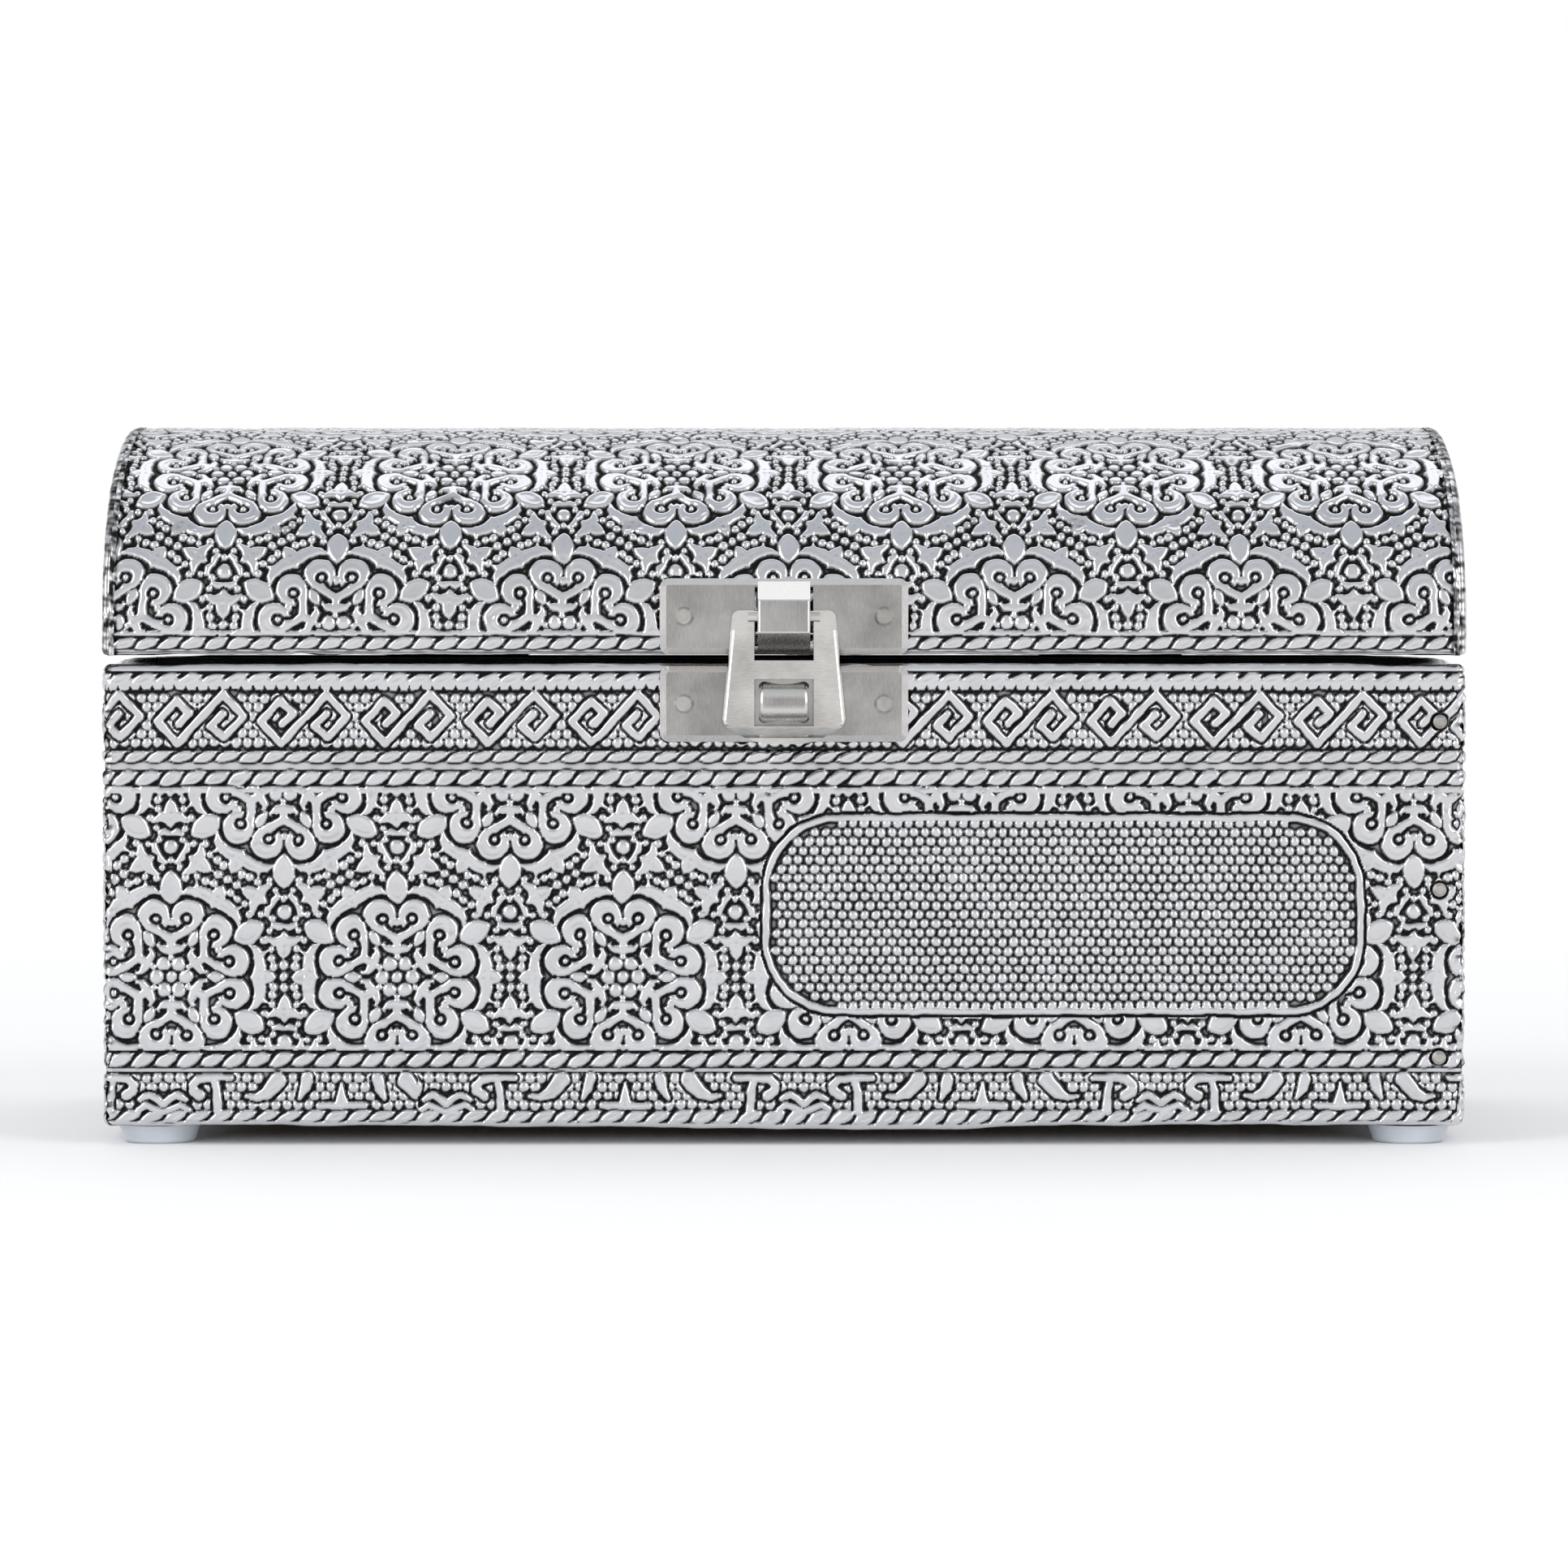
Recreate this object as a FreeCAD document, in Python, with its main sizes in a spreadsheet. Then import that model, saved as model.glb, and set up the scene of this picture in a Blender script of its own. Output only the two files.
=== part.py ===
import FreeCAD, Part
import os
import re
import Sketcher
from FreeCAD import Rotation, Vector

# A small keepsake chest: a wooden box and a domed wooden lid, both covered with embossed
# metal sheet, hung on two butt hinges at the back and closed by a hasp latch at the front.
# Millimetres, +Z up, front towards -Y. The origin is on the ground under the middle of the chest.

SIZES = {
    # Outside of the chest
    "width": (178.0, "width over the cladding"),
    "depth": (76.0, "depth over the cladding"),
    "base_height": (60.5, "height of the clad box without its feet"),
    "lid_gap": (1.0, "gap between box and lid at the hinge line"),
    "lid_side": (2.5, "straight part of the lid below the dome"),
    "dome_rise": (28.5, "height of the dome above its springing"),
    "shoulder_radius": (25.0, "radius of the dome's front and back shoulders"),
    # Wooden carcass
    "wall": (6.0, "thickness of the side boards"),
    "floor_board": (4.0, "thickness of the bottom board"),
    "lid_panel": (3.0, "thickness of the bent top board"),
    "lid_rail": (5.0, "thickness of the lid's front and back rails"),
    "rail_height": (7.0, "height of the lid's rails"),
    # Cloth-covered lining
    "lining": (1.0, "thickness of the side linings"),
    "floor_lining": (2.0, "thickness of the floor lining"),
    "lining_rise": (0.7, "height of the lining above the rim, which closes the gap under the lid"),
    # Embossed metal cladding
    "cladding": (0.8, "thickness of the sheet over its relief"),
    "relief": (0.3, "depth of the sunk fields between the raised borders"),
    "corner_radius": (1.5, "radius of the upright corners"),
    "edge_radius": (1.1, "radius of the folds along the rim and the bottom"),
    "end_fold": (1.8, "width of the lid's end sheet folded over the dome"),
    "hem_margin": (1.0, "width of the bottom hem beyond the feet"),
    "key_drop": (3.1, "rim to the top of the meander band"),
    "key_height": (8.5, "height of the meander band"),
    "panel_drop": (16.9, "rim to the top of the floral panel"),
    "panel_rise": (10.7, "bottom fold to the lower edge of the floral panel"),
    "scroll_rise": (1.8, "bottom fold to the lower edge of the scroll band"),
    "scroll_height": (5.4, "height of the scroll band"),
    "lid_border": (2.9, "height of the raised border round the dome's field"),
    "label_width": (78.6, "width of the label frame"),
    "label_height": (26.3, "height of the label frame"),
    "label_offset": (36.4, "middle of the label frame right of centre"),
    "label_rise": (27.75, "middle of the label frame above the bottom fold"),
    "label_radius": (10.0, "corner radius of the label frame"),
    "label_rim": (1.05, "width of the label frame's raised rim"),
    # Bumper feet
    "foot_height": (2.4, "height of a foot"),
    "foot_radius": (5.4, "radius of a foot where it is stuck on"),
    "foot_taper": (0.6, "loss of radius down to the ground"),
    "foot_inset": (6.8, "middle of a foot from the outside faces"),
    # Butt hinges
    "hinge_offset": (46.7, "middle of a hinge from the centre line"),
    "hinge_length": (20.4, "length of the hinge barrel"),
    "knuckle_radius": (1.6, "outer radius of the barrel"),
    "knuckle_gap": (0.2, "play between two knuckles"),
    "hinge_clearance": (0.3, "room round the barrel"),
    "axis_inset": (1.4, "hinge axis inside the back face"),
    "leaf_sheet": (0.8, "thickness of a hinge leaf"),
    "leaf_width": (5.2, "width of a leaf from the axis"),
    "pin_radius": (0.75, "radius of the hinge pin"),
    "pin_fit": (0.05, "radial play of the pin in its knuckles"),
    "notch_margin": (0.6, "room at each end of a hinge in its notch"),
    "hinge_screw_offset": (6.0, "screw from the middle of its hinge"),
    "hinge_screw_setback": (3.5, "screw from the hinge axis"),
    "screw_head_radius": (1.1, "radius of a hinge screw's head"),
    "screw_head_height": (0.5, "height of a hinge screw's head"),
    "screw_radius": (0.6, "radius of a hinge screw's shank"),
    "screw_length": (4.5, "length of a hinge screw under its head"),
    # Hasp latch
    "plate_width": (32.3, "width of a latch plate"),
    "plate_height": (9.9, "height of a latch plate"),
    "plate_rise": (1.2, "height of a latch plate off the front face"),
    "plate_sheet": (0.6, "sheet thickness of a latch plate"),
    "plate_corner": (1.2, "corner radius of a latch plate"),
    "plate_bevel": (0.85, "bevel round the front of a latch plate"),
    "lower_plate_drop": (5.25, "rim to the middle of the lower plate"),
    "bridge_width": (6.8, "width of the strap that holds the hasp"),
    "bridge_height": (9.3, "height of the strap between its feet"),
    "bridge_flat": (4.2, "height of the strap's flat front"),
    "bridge_rise": (3.2, "height of the strap off its plate"),
    "bridge_sheet": (0.8, "thickness of the strap"),
    "bridge_slit": (0.4, "width of the slit beside the strap"),
    "bridge_edge": (0.4, "rounding of the strap's front edges"),
    "pivot_height": (5.1, "hasp pivot above the lid's lower edge"),
    "pivot_offset": (1.2, "hasp pivot in front of its plate"),
    "hasp_sheet": (0.8, "thickness of the hasp"),
    "hasp_bar": (1.6, "diameter of the bar that turns in the strap"),
    "hasp_step": (0.5, "hasp's face in front of its ears"),
    "hasp_ear": (2.6, "pivot to the lower end of the ears"),
    "hasp_bend": (0.8, "height of the bend between ears and face"),
    "hasp_top_width": (13.3, "width of the hasp at its bar"),
    "hasp_bottom_width": (16.1, "width of the hasp above its lip"),
    "hasp_corner_drop": (13.9, "pivot to the hasp's lower corners"),
    "hasp_sag": (2.8, "depth of the hasp's rounded lower edge"),
    "hasp_corner": (1.0, "radius of the hasp's corners"),
    "hasp_edge": (0.7, "rounding round the hasp's face"),
    "hasp_opening": (7.7, "width of the slot and the window"),
    "slot_drop": (5.7, "pivot to the lower end of the slot"),
    "window_start": (8.1, "pivot to the upper edge of the window"),
    "window_end": (14.2, "pivot to the lower edge of the window, where the lip begins"),
    "lip_radius": (1.5, "inner radius of the turned-out lip"),
    "boss_width": (6.7, "width of the boss that the hasp snaps over"),
    "boss_height": (5.4, "height of the boss"),
    "boss_rise": (2.4, "rise of the boss off its plate"),
    "boss_edge": (0.8, "rounding of the boss's ends"),
    "boss_pinch": (0.35, "depth of the hollow in each side of the boss"),
    "boss_pinch_radius": (9.0, "radius of the hollow in each side of the boss"),
    # Nails
    "nail_offset": (13.0, "latch nail from the centre line"),
    "nail_head_radius": (1.3, "radius of a latch nail's head"),
    "nail_head_height": (0.35, "height of a nail head"),
    "nail_radius": (0.6, "radius of a nail's shank"),
    "nail_length": (6.5, "length of a latch nail under its head"),
    "nail_fit": (0.05, "radial play of a shank in its hole"),
    "seam_nail_inset": (3.6, "seam nails from the right edge"),
    "seam_nail_rise": (9.1, "lowest seam nail above the bottom fold"),
    "seam_nail_drop": (7.6, "rim to the highest seam nail"),
    "seam_nail_head_radius": (0.9, "radius of a seam nail's head"),
    "seam_nail_length": (4.5, "length of a seam nail under its head"),
}

# Places worked out from the sizes.
PLACES = {
    "hasp_reach": "plate_rise + pivot_offset + hasp_step + hasp_sheet / 2 + lip_radius",
    "centre_y": "(hasp_reach - knuckle_radius + axis_inset) / 2",
    "front": "centre_y - depth / 2",
    "back": "centre_y + depth / 2",
    "half_width": "width / 2",
    "core_x": "half_width - cladding",
    "core_front": "front + cladding",
    "core_back": "back - cladding",
    "inner_x": "core_x - wall",
    "inner_front": "core_front + wall",
    "inner_back": "core_back - wall",
    "base_bottom": "foot_height",
    "base_top": "foot_height + base_height",
    "core_bottom": "base_bottom + cladding",
    "core_top": "base_top - cladding",
    "floor_top": "core_bottom + floor_board",
    "lid_bottom": "base_top + lid_gap",
    "lid_core_bottom": "lid_bottom + cladding",
    "spring": "lid_bottom + lid_side",
    "lid_top": "spring + dome_rise",
    "crown_radius": "((depth / 2 - shoulder_radius)^2 + dome_rise^2 - shoulder_radius^2)"
                    " / (2 * (dome_rise - shoulder_radius))",
    "panel_inset": "cladding + lid_panel",
    "rail_front": "front + panel_inset + lid_rail",
    "rail_back": "back - panel_inset - lid_rail",
    "rail_top": "lid_core_bottom + rail_height",
    "axis_y": "back - axis_inset",
    "axis_z": "lid_bottom - knuckle_radius - hinge_clearance",
    "leaf_drop": "knuckle_radius + hinge_clearance",
    "knuckle_pitch": "hinge_length / 4",
    "plate_face": "front - plate_rise",
    "pivot_y": "plate_face - pivot_offset",
    "pivot_z": "lid_bottom + pivot_height",
    "lower_plate_z": "base_top - lower_plate_drop",
    "hasp_front": "pivot_y - hasp_step - hasp_sheet / 2",
    "hasp_back": "pivot_y - hasp_step + hasp_sheet / 2",
    "ear_front": "pivot_y - hasp_sheet / 2",
    "ear_back": "pivot_y + hasp_sheet / 2",
    "hasp_arc_radius": "((hasp_bottom_width / 2)^2 + hasp_sag^2) / (2 * hasp_sag)",
    "boss_radius": "((boss_height / 2)^2 + boss_rise^2) / (2 * boss_rise)",
    "under_hem": "foot_inset + foot_radius + hem_margin",
    "label_z": "base_bottom + label_rise",
    "seam_nail_x": "half_width - seam_nail_inset",
    "seam_nail_pitch": "(base_height - seam_nail_rise - seam_nail_drop) / 2",
}

# How far a cutting tool runs past the faces that it cuts.
PAST = 1.0

doc = FreeCAD.newDocument("keepsake_box")
sheet = doc.addObject("Spreadsheet::Sheet", "Sizes")
for row, (alias, (number, meaning)) in enumerate(SIZES.items(), 1):
    sheet.set(f"A{row}", meaning)
    sheet.set(f"B{row}", str(number))
    sheet.setAlias(f"B{row}", alias)
doc.recompute()

nodes = []


def formula(text):
    """Spell out the places and sizes in a formula as cells of the sheet."""
    def spell(match):
        word = match.group(0)
        if word in PLACES:
            return f"({formula(PLACES[word])})"
        return f"Sizes.{word}" if word in SIZES else word
    return re.sub(r"[a-z_]+", spell, str(text))


def value(text):
    return float(sheet.evalExpression(formula(text)))


def node(label, item):
    """Name a finished sub-part and list it for export."""
    item.Label = label
    nodes.append(item)
    return item


# Solids bound to the sheet

def block(name, x, y, z):
    """A box between two formulas along each axis."""
    box = doc.addObject("Part::Box", name)
    for side, axis, (low, high) in zip(("Length", "Width", "Height"), "xyz", (x, y, z)):
        box.setExpression(side, formula(f"({high}) - ({low})"))
        box.setExpression(f"Placement.Base.{axis}", formula(low))
    return box


TURNS = {
    "right": Rotation(Vector(0, 1, 0), 90),
    "front": Rotation(Vector(1, 0, 0), 90),
    "up": Rotation(),
    "down": Rotation(Vector(1, 0, 0), 180),
}


def turned(item, way, place, **sizes):
    """Bind a round primitive's sizes and the middle of its lower end, and turn its axis."""
    item.Placement.Rotation = TURNS[way]
    for axis, text in zip("xyz", place):
        item.setExpression(f"Placement.Base.{axis}", formula(text))
    for prop, text in sizes.items():
        item.setExpression(prop, formula(text))
    return item


def rod(name, way, place, radius, length):
    item = doc.addObject("Part::Cylinder", name)
    return turned(item, way, place, Radius=radius, Height=length)


def cut(name, base, *tools):
    item = doc.addObject("Part::Cut", name)
    item.Base = base
    item.Tool = tools[0] if len(tools) == 1 else fuse(name + "_tools", *tools)
    return item


def fuse(name, *items):
    item = doc.addObject("Part::MultiFuse", name)
    item.Shapes = list(items)
    return item


def common(name, base, tool):
    item = doc.addObject("Part::Common", name)
    item.Base = base
    item.Tool = tool
    return item


def group(name, *items):
    item = doc.addObject("Part::Compound", name)
    item.Links = list(items)
    return item


def dressed(kind, name, base, size, chosen):
    """Fillet or chamfer the edges whose points all pass a test."""
    doc.recompute()
    item = doc.addObject(kind, name)
    item.Base = base
    amount = value(size)
    edges = []
    for index, edge in enumerate(base.Shape.Edges, 1):
        if all(chosen(point) for point in edge.discretize(5)):
            edges.append((index, amount, amount))
    item.Edges = edges
    return item


def near(number, text):
    return abs(number - value(text)) < 1e-4


def outline(sketch, corners, bends):
    """Draw a closed loop anticlockwise. Bends give the radius of the sides that are arcs."""
    points = [Vector(value(u), value(v), 0) for u, v in corners]
    first = sketch.GeometryCount
    count = len(points)
    for side, start in enumerate(points):
        end = points[(side + 1) % count]
        if side not in bends:
            sketch.addGeometry(Part.LineSegment(start, end))
            continue
        radius = value(bends[side])
        half = (end - start) / 2
        lift = max(radius**2 - half.Length**2, 0.0) ** 0.5
        centre = start + half + Vector(-half.y, half.x, 0).normalize() * lift
        circle = Part.Circle(centre, Vector(0, 0, 1), radius)
        sketch.addGeometry(Part.ArcOfCircle(circle, circle.parameter(start), circle.parameter(end)))
    for side in range(count):
        following = first + (side + 1) % count
        sketch.addConstraint(Sketcher.Constraint("Coincident", first + side, 2, following, 1))
    for side, (u, v) in enumerate(corners):
        dimension(sketch, u, "DistanceX", -1, 1, first + side, 1)
        dimension(sketch, v, "DistanceY", -1, 1, first + side, 1)
        if side in bends:
            dimension(sketch, bends[side], "Radius", first + side)


def dimension(sketch, text, *constraint):
    index = sketch.addConstraint(Sketcher.Constraint(*constraint, value(text)))
    sketch.setExpression(f"Constraints[{index}]", formula(text))


def prism(name, plane, loops, low, high):
    """A body padded along the normal of one of its origin planes, between two formulas."""
    body = doc.addObject("PartDesign::Body", name)
    sketch = body.newObject("Sketcher::SketchObject", name + "_outline")
    support = next(item for item in body.Origin.OriginFeatures if item.Role == plane)
    sketch.AttachmentSupport = [(support, "")]
    sketch.MapMode = "FlatFace"
    sketch.setExpression("AttachmentOffset.Base.z", formula(low))
    for corners, bends in loops:
        outline(sketch, corners, bends)
    pad = body.newObject("PartDesign::Pad", name + "_pad")
    pad.Profile = sketch
    pad.setExpression("Length", formula(f"({high}) - ({low})"))
    return body


def arch(name, inset, ground, low, high):
    """The lid's three-centred outline, moved in by an inset, running along X."""
    reach = f"(depth / 2 - ({inset}))"
    crown = f"(crown_radius - ({inset}))"
    turn_y = f"{crown} * (depth / 2 - shoulder_radius) / (crown_radius - shoulder_radius)"
    turn_z = (f"lid_top - crown_radius"
              f" + {crown} * (crown_radius - dome_rise) / (crown_radius - shoulder_radius)")
    corners = [
        (f"centre_y - {reach}", ground),
        (f"centre_y + {reach}", ground),
        (f"centre_y + {reach}", "spring"),
        (f"centre_y + {turn_y}", turn_z),
        (f"centre_y - {turn_y}", turn_z),
        (f"centre_y - {reach}", "spring"),
    ]
    shoulder = f"shoulder_radius - ({inset})"
    return prism(name, "YZ_Plane", [(corners, {2: shoulder, 3: crown, 4: shoulder})], low, high)


def rounded_plate(name, middle_x, middle_z, width, height, radius, low, high):
    """An upright plate with rounded corners. Low and high are distances towards the front."""
    left, right = (f"{middle_x} {sign} ({width}) / 2" for sign in "-+")
    bottom, top = (f"{middle_z} {sign} ({height}) / 2" for sign in "-+")
    corners = [
        (f"{left} + {radius}", bottom),
        (f"{right} - {radius}", bottom),
        (right, f"{bottom} + {radius}"),
        (right, f"{top} - {radius}"),
        (f"{right} - {radius}", top),
        (f"{left} + {radius}", top),
        (left, f"{top} - {radius}"),
        (left, f"{bottom} + {radius}"),
    ]
    bends = {side: radius for side in (1, 3, 5, 7)}
    return prism(name, "XZ_Plane", [(corners, bends)], low, high)


INWARD = {"front": ("y", "+"), "up": ("z", "-"), "down": ("z", "+")}


def nail(name, way, place, head_radius, head_height, radius, length):
    """A nail or screw whose head faces one way, and the hole that its shank needs."""
    axis, sign = INWARD[way]
    root = [f"({text}) {sign} ({length})" if axis == letter else text for letter, text in zip("xyz", place)]
    head = turned(doc.addObject("Part::Cone", name + "_head"), way, place,
                  Radius1=head_radius, Radius2=f"({head_radius}) - ({head_height})", Height=head_height)
    shank = rod(name + "_shank", way, root, radius, length)
    hole = rod(name + "_hole", way, root, f"{radius} + nail_fit", length)
    return fuse(name, head, shank), hole


# Fasteners and the holes that they need

def latch_nails(name, height):
    made = [nail(f"{name}_{side}", "front", (f"{sign}nail_offset", "plate_face", height),
                 "nail_head_radius", "nail_head_height", "nail_radius", "nail_length")
            for side, sign in (("left", "-"), ("right", ""))]
    node(name, group(name, *(item for item, hole in made)))
    return [hole for item, hole in made]


def seam_nails():
    made = [nail(f"cladding_nail_{count}", "front",
                 ("seam_nail_x", "front", f"base_bottom + seam_nail_rise + {count} * seam_nail_pitch"),
                 "seam_nail_head_radius", "nail_head_height", "nail_radius", "seam_nail_length")
            for count in range(3)]
    node("cladding_nails", group("cladding_nails", *(item for item, hole in made)))
    return [hole for item, hole in made]


HINGES = {"left": "-hinge_offset", "right": "hinge_offset"}


def hinge_screws(name, way, height):
    made = [nail(f"{name}_{hinge}_{side}", way,
                 (f"{middle} {sign} hinge_screw_offset", "axis_y - hinge_screw_setback", height),
                 "screw_head_radius", "screw_head_height", "screw_radius", "screw_length")
            for hinge, middle in HINGES.items() for side, sign in (("left", "-"), ("right", "+"))]
    node(name, group(name, *(item for item, hole in made)))
    return [hole for item, hole in made]


upper_nail_holes = latch_nails("latch_upper_nails", "pivot_z")
lower_nail_holes = latch_nails("latch_lower_nails", "lower_plate_z")
seam_nail_holes = seam_nails()
base_screw_holes = hinge_screws("hinge_base_screws", "up", "axis_z - leaf_drop + leaf_sheet")
lid_screw_holes = hinge_screws("hinge_lid_screws", "down", "axis_z + leaf_drop - leaf_sheet")


# Wooden box

hinge_notches = [
    block(f"hinge_{hinge}_notch",
          (f"{middle} - hinge_length / 2 - notch_margin", f"{middle} + hinge_length / 2 + notch_margin"),
          ("inner_back", f"back + {PAST}"),
          ("axis_z - leaf_drop", f"base_top + {PAST}"))
    for hinge, middle in HINGES.items()
]

full_length = ("-core_x", "core_x")
between_walls = ("inner_front", "inner_back")
wall_height = ("core_bottom", "core_top")

front_board = block("front_board", full_length, ("core_front", "inner_front"), wall_height)
node("base_front_wall", cut("base_front_wall", front_board, *lower_nail_holes, *seam_nail_holes))
back_board = block("back_board", full_length, ("inner_back", "core_back"), wall_height)
node("base_back_wall", cut("base_back_wall", back_board, *hinge_notches, *base_screw_holes))
node("base_left_wall", block("base_left_wall", ("-core_x", "-inner_x"), between_walls, wall_height))
node("base_right_wall", block("base_right_wall", ("inner_x", "core_x"), between_walls, wall_height))
node("base_bottom_panel",
     block("base_bottom_panel", ("-inner_x", "inner_x"), between_walls, ("core_bottom", "floor_top")))


# Embossed sheet round the box, folded over the rim and under the bottom

def upright(point):
    return near(abs(point.x), "half_width") and (near(point.y, "front") or near(point.y, "back"))


def rim_or_bottom(point):
    return near(point.z, "base_top") or near(point.z, "base_bottom")


def sunk_band(name, low, high):
    """The ring of metal that is pressed back between two raised borders."""
    outside = block(name + "_outside", (f"-half_width - {PAST}", f"half_width + {PAST}"),
                    (f"front - {PAST}", f"back + {PAST}"), (low, high))
    ground = block(name + "_ground", ("relief - half_width", "half_width - relief"),
                   ("front + relief", "back - relief"), (low, high))
    return cut(name, outside, ground)


def label_frame():
    """The raised rim that stays standing round the label place."""
    towards_front = ("-front - relief", f"{PAST} - front")
    outer = rounded_plate("label_outer", "label_offset", "label_z", "label_width", "label_height",
                          "label_radius", *towards_front)
    inner = rounded_plate("label_inner", "label_offset", "label_z", "label_width - 2 * label_rim",
                          "label_height - 2 * label_rim", "(label_radius - label_rim)", *towards_front)
    return cut("label_frame", outer, inner)


sheet_block = block("sheet_block", ("-half_width", "half_width"), ("front", "back"),
                    ("base_bottom", "base_top"))
sheet_corners = dressed("Part::Fillet", "sheet_corners", sheet_block, "corner_radius", upright)
sheet_folds = dressed("Part::Fillet", "sheet_folds", sheet_corners, "edge_radius", rim_or_bottom)
core = block("core", full_length, ("core_front", "core_back"), wall_height)
mouth = block("mouth", ("-inner_x", "inner_x"), between_walls, ("core_top", f"base_top + {PAST}"))
underside = block("underside", ("under_hem - half_width", "half_width - under_hem"),
                  ("front + under_hem", "back - under_hem"), (f"base_bottom - {PAST}", "core_bottom"))
key_band = sunk_band("key_band", "base_top - key_drop - key_height", "base_top - key_drop")
panel_ring = sunk_band("panel_ring", "base_bottom + panel_rise", "base_top - panel_drop")
panel_band = cut("panel_band", panel_ring, label_frame())
scroll_band = sunk_band("scroll_band", "base_bottom + scroll_rise",
                        "base_bottom + scroll_rise + scroll_height")
node("base_cladding",
     cut("base_cladding", sheet_folds, core, mouth, underside, key_band, panel_band, scroll_band,
         *hinge_notches, *lower_nail_holes, *seam_nail_holes))


# Lining of the box

lined_height = ("floor_top + floor_lining", "base_top + lining_rise")
beside_front_and_back = ("inner_front + lining", "inner_back - lining")
box_inside = ("-inner_x", "inner_x")
node("base_floor_lining",
     block("base_floor_lining", box_inside, between_walls, ("floor_top", "floor_top + floor_lining")))
node("base_front_lining",
     block("base_front_lining", box_inside, ("inner_front", "inner_front + lining"), lined_height))
node("base_back_lining",
     block("base_back_lining", box_inside, ("inner_back - lining", "inner_back"), lined_height))
node("base_left_lining",
     block("base_left_lining", ("-inner_x", "lining - inner_x"), beside_front_and_back, lined_height))
node("base_right_lining",
     block("base_right_lining", ("inner_x - lining", "inner_x"), beside_front_and_back, lined_height))


# Bumper feet

def foot(label, x, y):
    body = doc.addObject("PartDesign::Body", label)
    sketch = body.newObject("Sketcher::SketchObject", label + "_half")
    support = next(item for item in body.Origin.OriginFeatures if item.Role == "XZ_Plane")
    sketch.AttachmentSupport = [(support, "")]
    sketch.MapMode = "FlatFace"
    ground_radius = "foot_radius - foot_taper"
    rounding = "foot_taper"
    corners = [
        ("0", "0"),
        (f"{ground_radius} - {rounding}", "0"),
        (ground_radius, rounding),
        ("foot_radius", "foot_height"),
        ("0", "foot_height"),
    ]
    outline(sketch, corners, {1: rounding})
    turn = body.newObject("PartDesign::Revolution", label + "_turn")
    turn.Profile = sketch
    turn.ReferenceAxis = (sketch, ["V_Axis"])
    turn.Angle = 360
    body.setExpression("Placement.Base.x", formula(x))
    body.setExpression("Placement.Base.y", formula(y))
    node(label, body)


for depth_name, foot_y in (("front", "front + foot_inset"), ("back", "back - foot_inset")):
    for side_name, foot_x in (("left", "foot_inset - half_width"), ("right", "half_width - foot_inset")):
        foot(f"foot_{depth_name}_{side_name}", foot_x, foot_y)


# Wooden lid

lid_core_low = f"lid_bottom - {PAST}"
lid_length = ("-core_x", "core_x")
lid_inside = ("-inner_x", "inner_x")
node("lid_left_end", arch("lid_left_end", "panel_inset", "lid_core_bottom", "-core_x", "-inner_x"))
node("lid_right_end", arch("lid_right_end", "panel_inset", "lid_core_bottom", "inner_x", "core_x"))

panel_outside = arch("panel_outside", "cladding", "lid_core_bottom", *lid_length)
panel_inside = arch("panel_inside", "panel_inset", lid_core_low, f"-core_x - {PAST}", f"core_x + {PAST}")
node("lid_curved_top", cut("lid_curved_top", panel_outside, panel_inside, *upper_nail_holes))

lid_hollow = arch("lid_hollow", "panel_inset", "lid_core_bottom", *lid_inside)
rail_span = ("lid_core_bottom", "rail_top")
front_rail_block = block("front_rail_block", lid_inside, ("front + panel_inset", "rail_front"), rail_span)
back_rail_block = block("back_rail_block", lid_inside, ("rail_back", "back - panel_inset"), rail_span)
front_rail = common("front_rail", lid_hollow, front_rail_block)
back_rail = common("back_rail", lid_hollow, back_rail_block)
node("lid_front_rail", cut("lid_front_rail", front_rail, *upper_nail_holes))
node("lid_back_rail", cut("lid_back_rail", back_rail, *lid_screw_holes))


# Lining of the lid, over the rails and under the bent top

lined_rail_height = (lid_core_low, "rail_top + lining")
front_rail_cover = block("front_rail_cover", lid_inside, ("front", "rail_front + lining"), lined_rail_height)
back_rail_cover = block("back_rail_cover", lid_inside, ("rail_back - lining", "back"), lined_rail_height)
lined_void = arch("lined_void", "panel_inset + lining", lid_core_low, *lid_inside)
lined_space = cut("lined_space", lined_void, front_rail_cover, back_rail_cover)
node("lid_lining", cut("lid_lining", lid_hollow, front_rail_block, back_rail_block, lined_space))


def end_lining(label, low, high):
    plate = arch(label + "_plate", "panel_inset + lining", "lid_core_bottom", low, high)
    node(label, cut(label, plate, front_rail_cover, back_rail_cover))


end_lining("lid_left_end_lining", "-inner_x", "lining - inner_x")
end_lining("lid_right_end_lining", "inner_x - lining", "inner_x")


# Embossed sheet over the dome, and the end sheets folded over its edges

def lid_long_edge(point):
    return near(point.z, "lid_bottom") and (near(point.y, "front") or near(point.y, "back"))


fold_x = "half_width - end_fold"
dome_block = arch("dome_block", "0", "lid_bottom", "end_fold - half_width", fold_x)
dome_folds = dressed("Part::Fillet", "dome_folds", dome_block, "edge_radius", lid_long_edge)
beyond_ends = (f"-half_width - {PAST}", f"half_width + {PAST}")
dome_core = arch("dome_core", "cladding", "lid_core_bottom", *beyond_ends)
lid_mouth = block("lid_mouth", beyond_ends, ("rail_front", "rail_back"),
                  (lid_core_low, f"lid_core_bottom + {PAST}"))
field_block = block("field_block", ("end_fold + relief - half_width", f"{fold_x} - relief"),
                    (f"front - {PAST}", f"back + {PAST}"), ("lid_bottom + lid_border", f"lid_top + {PAST}"))
field_ground = arch("field_ground", "relief", "lid_bottom", *beyond_ends)
dome_field = cut("dome_field", field_block, field_ground)
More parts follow.
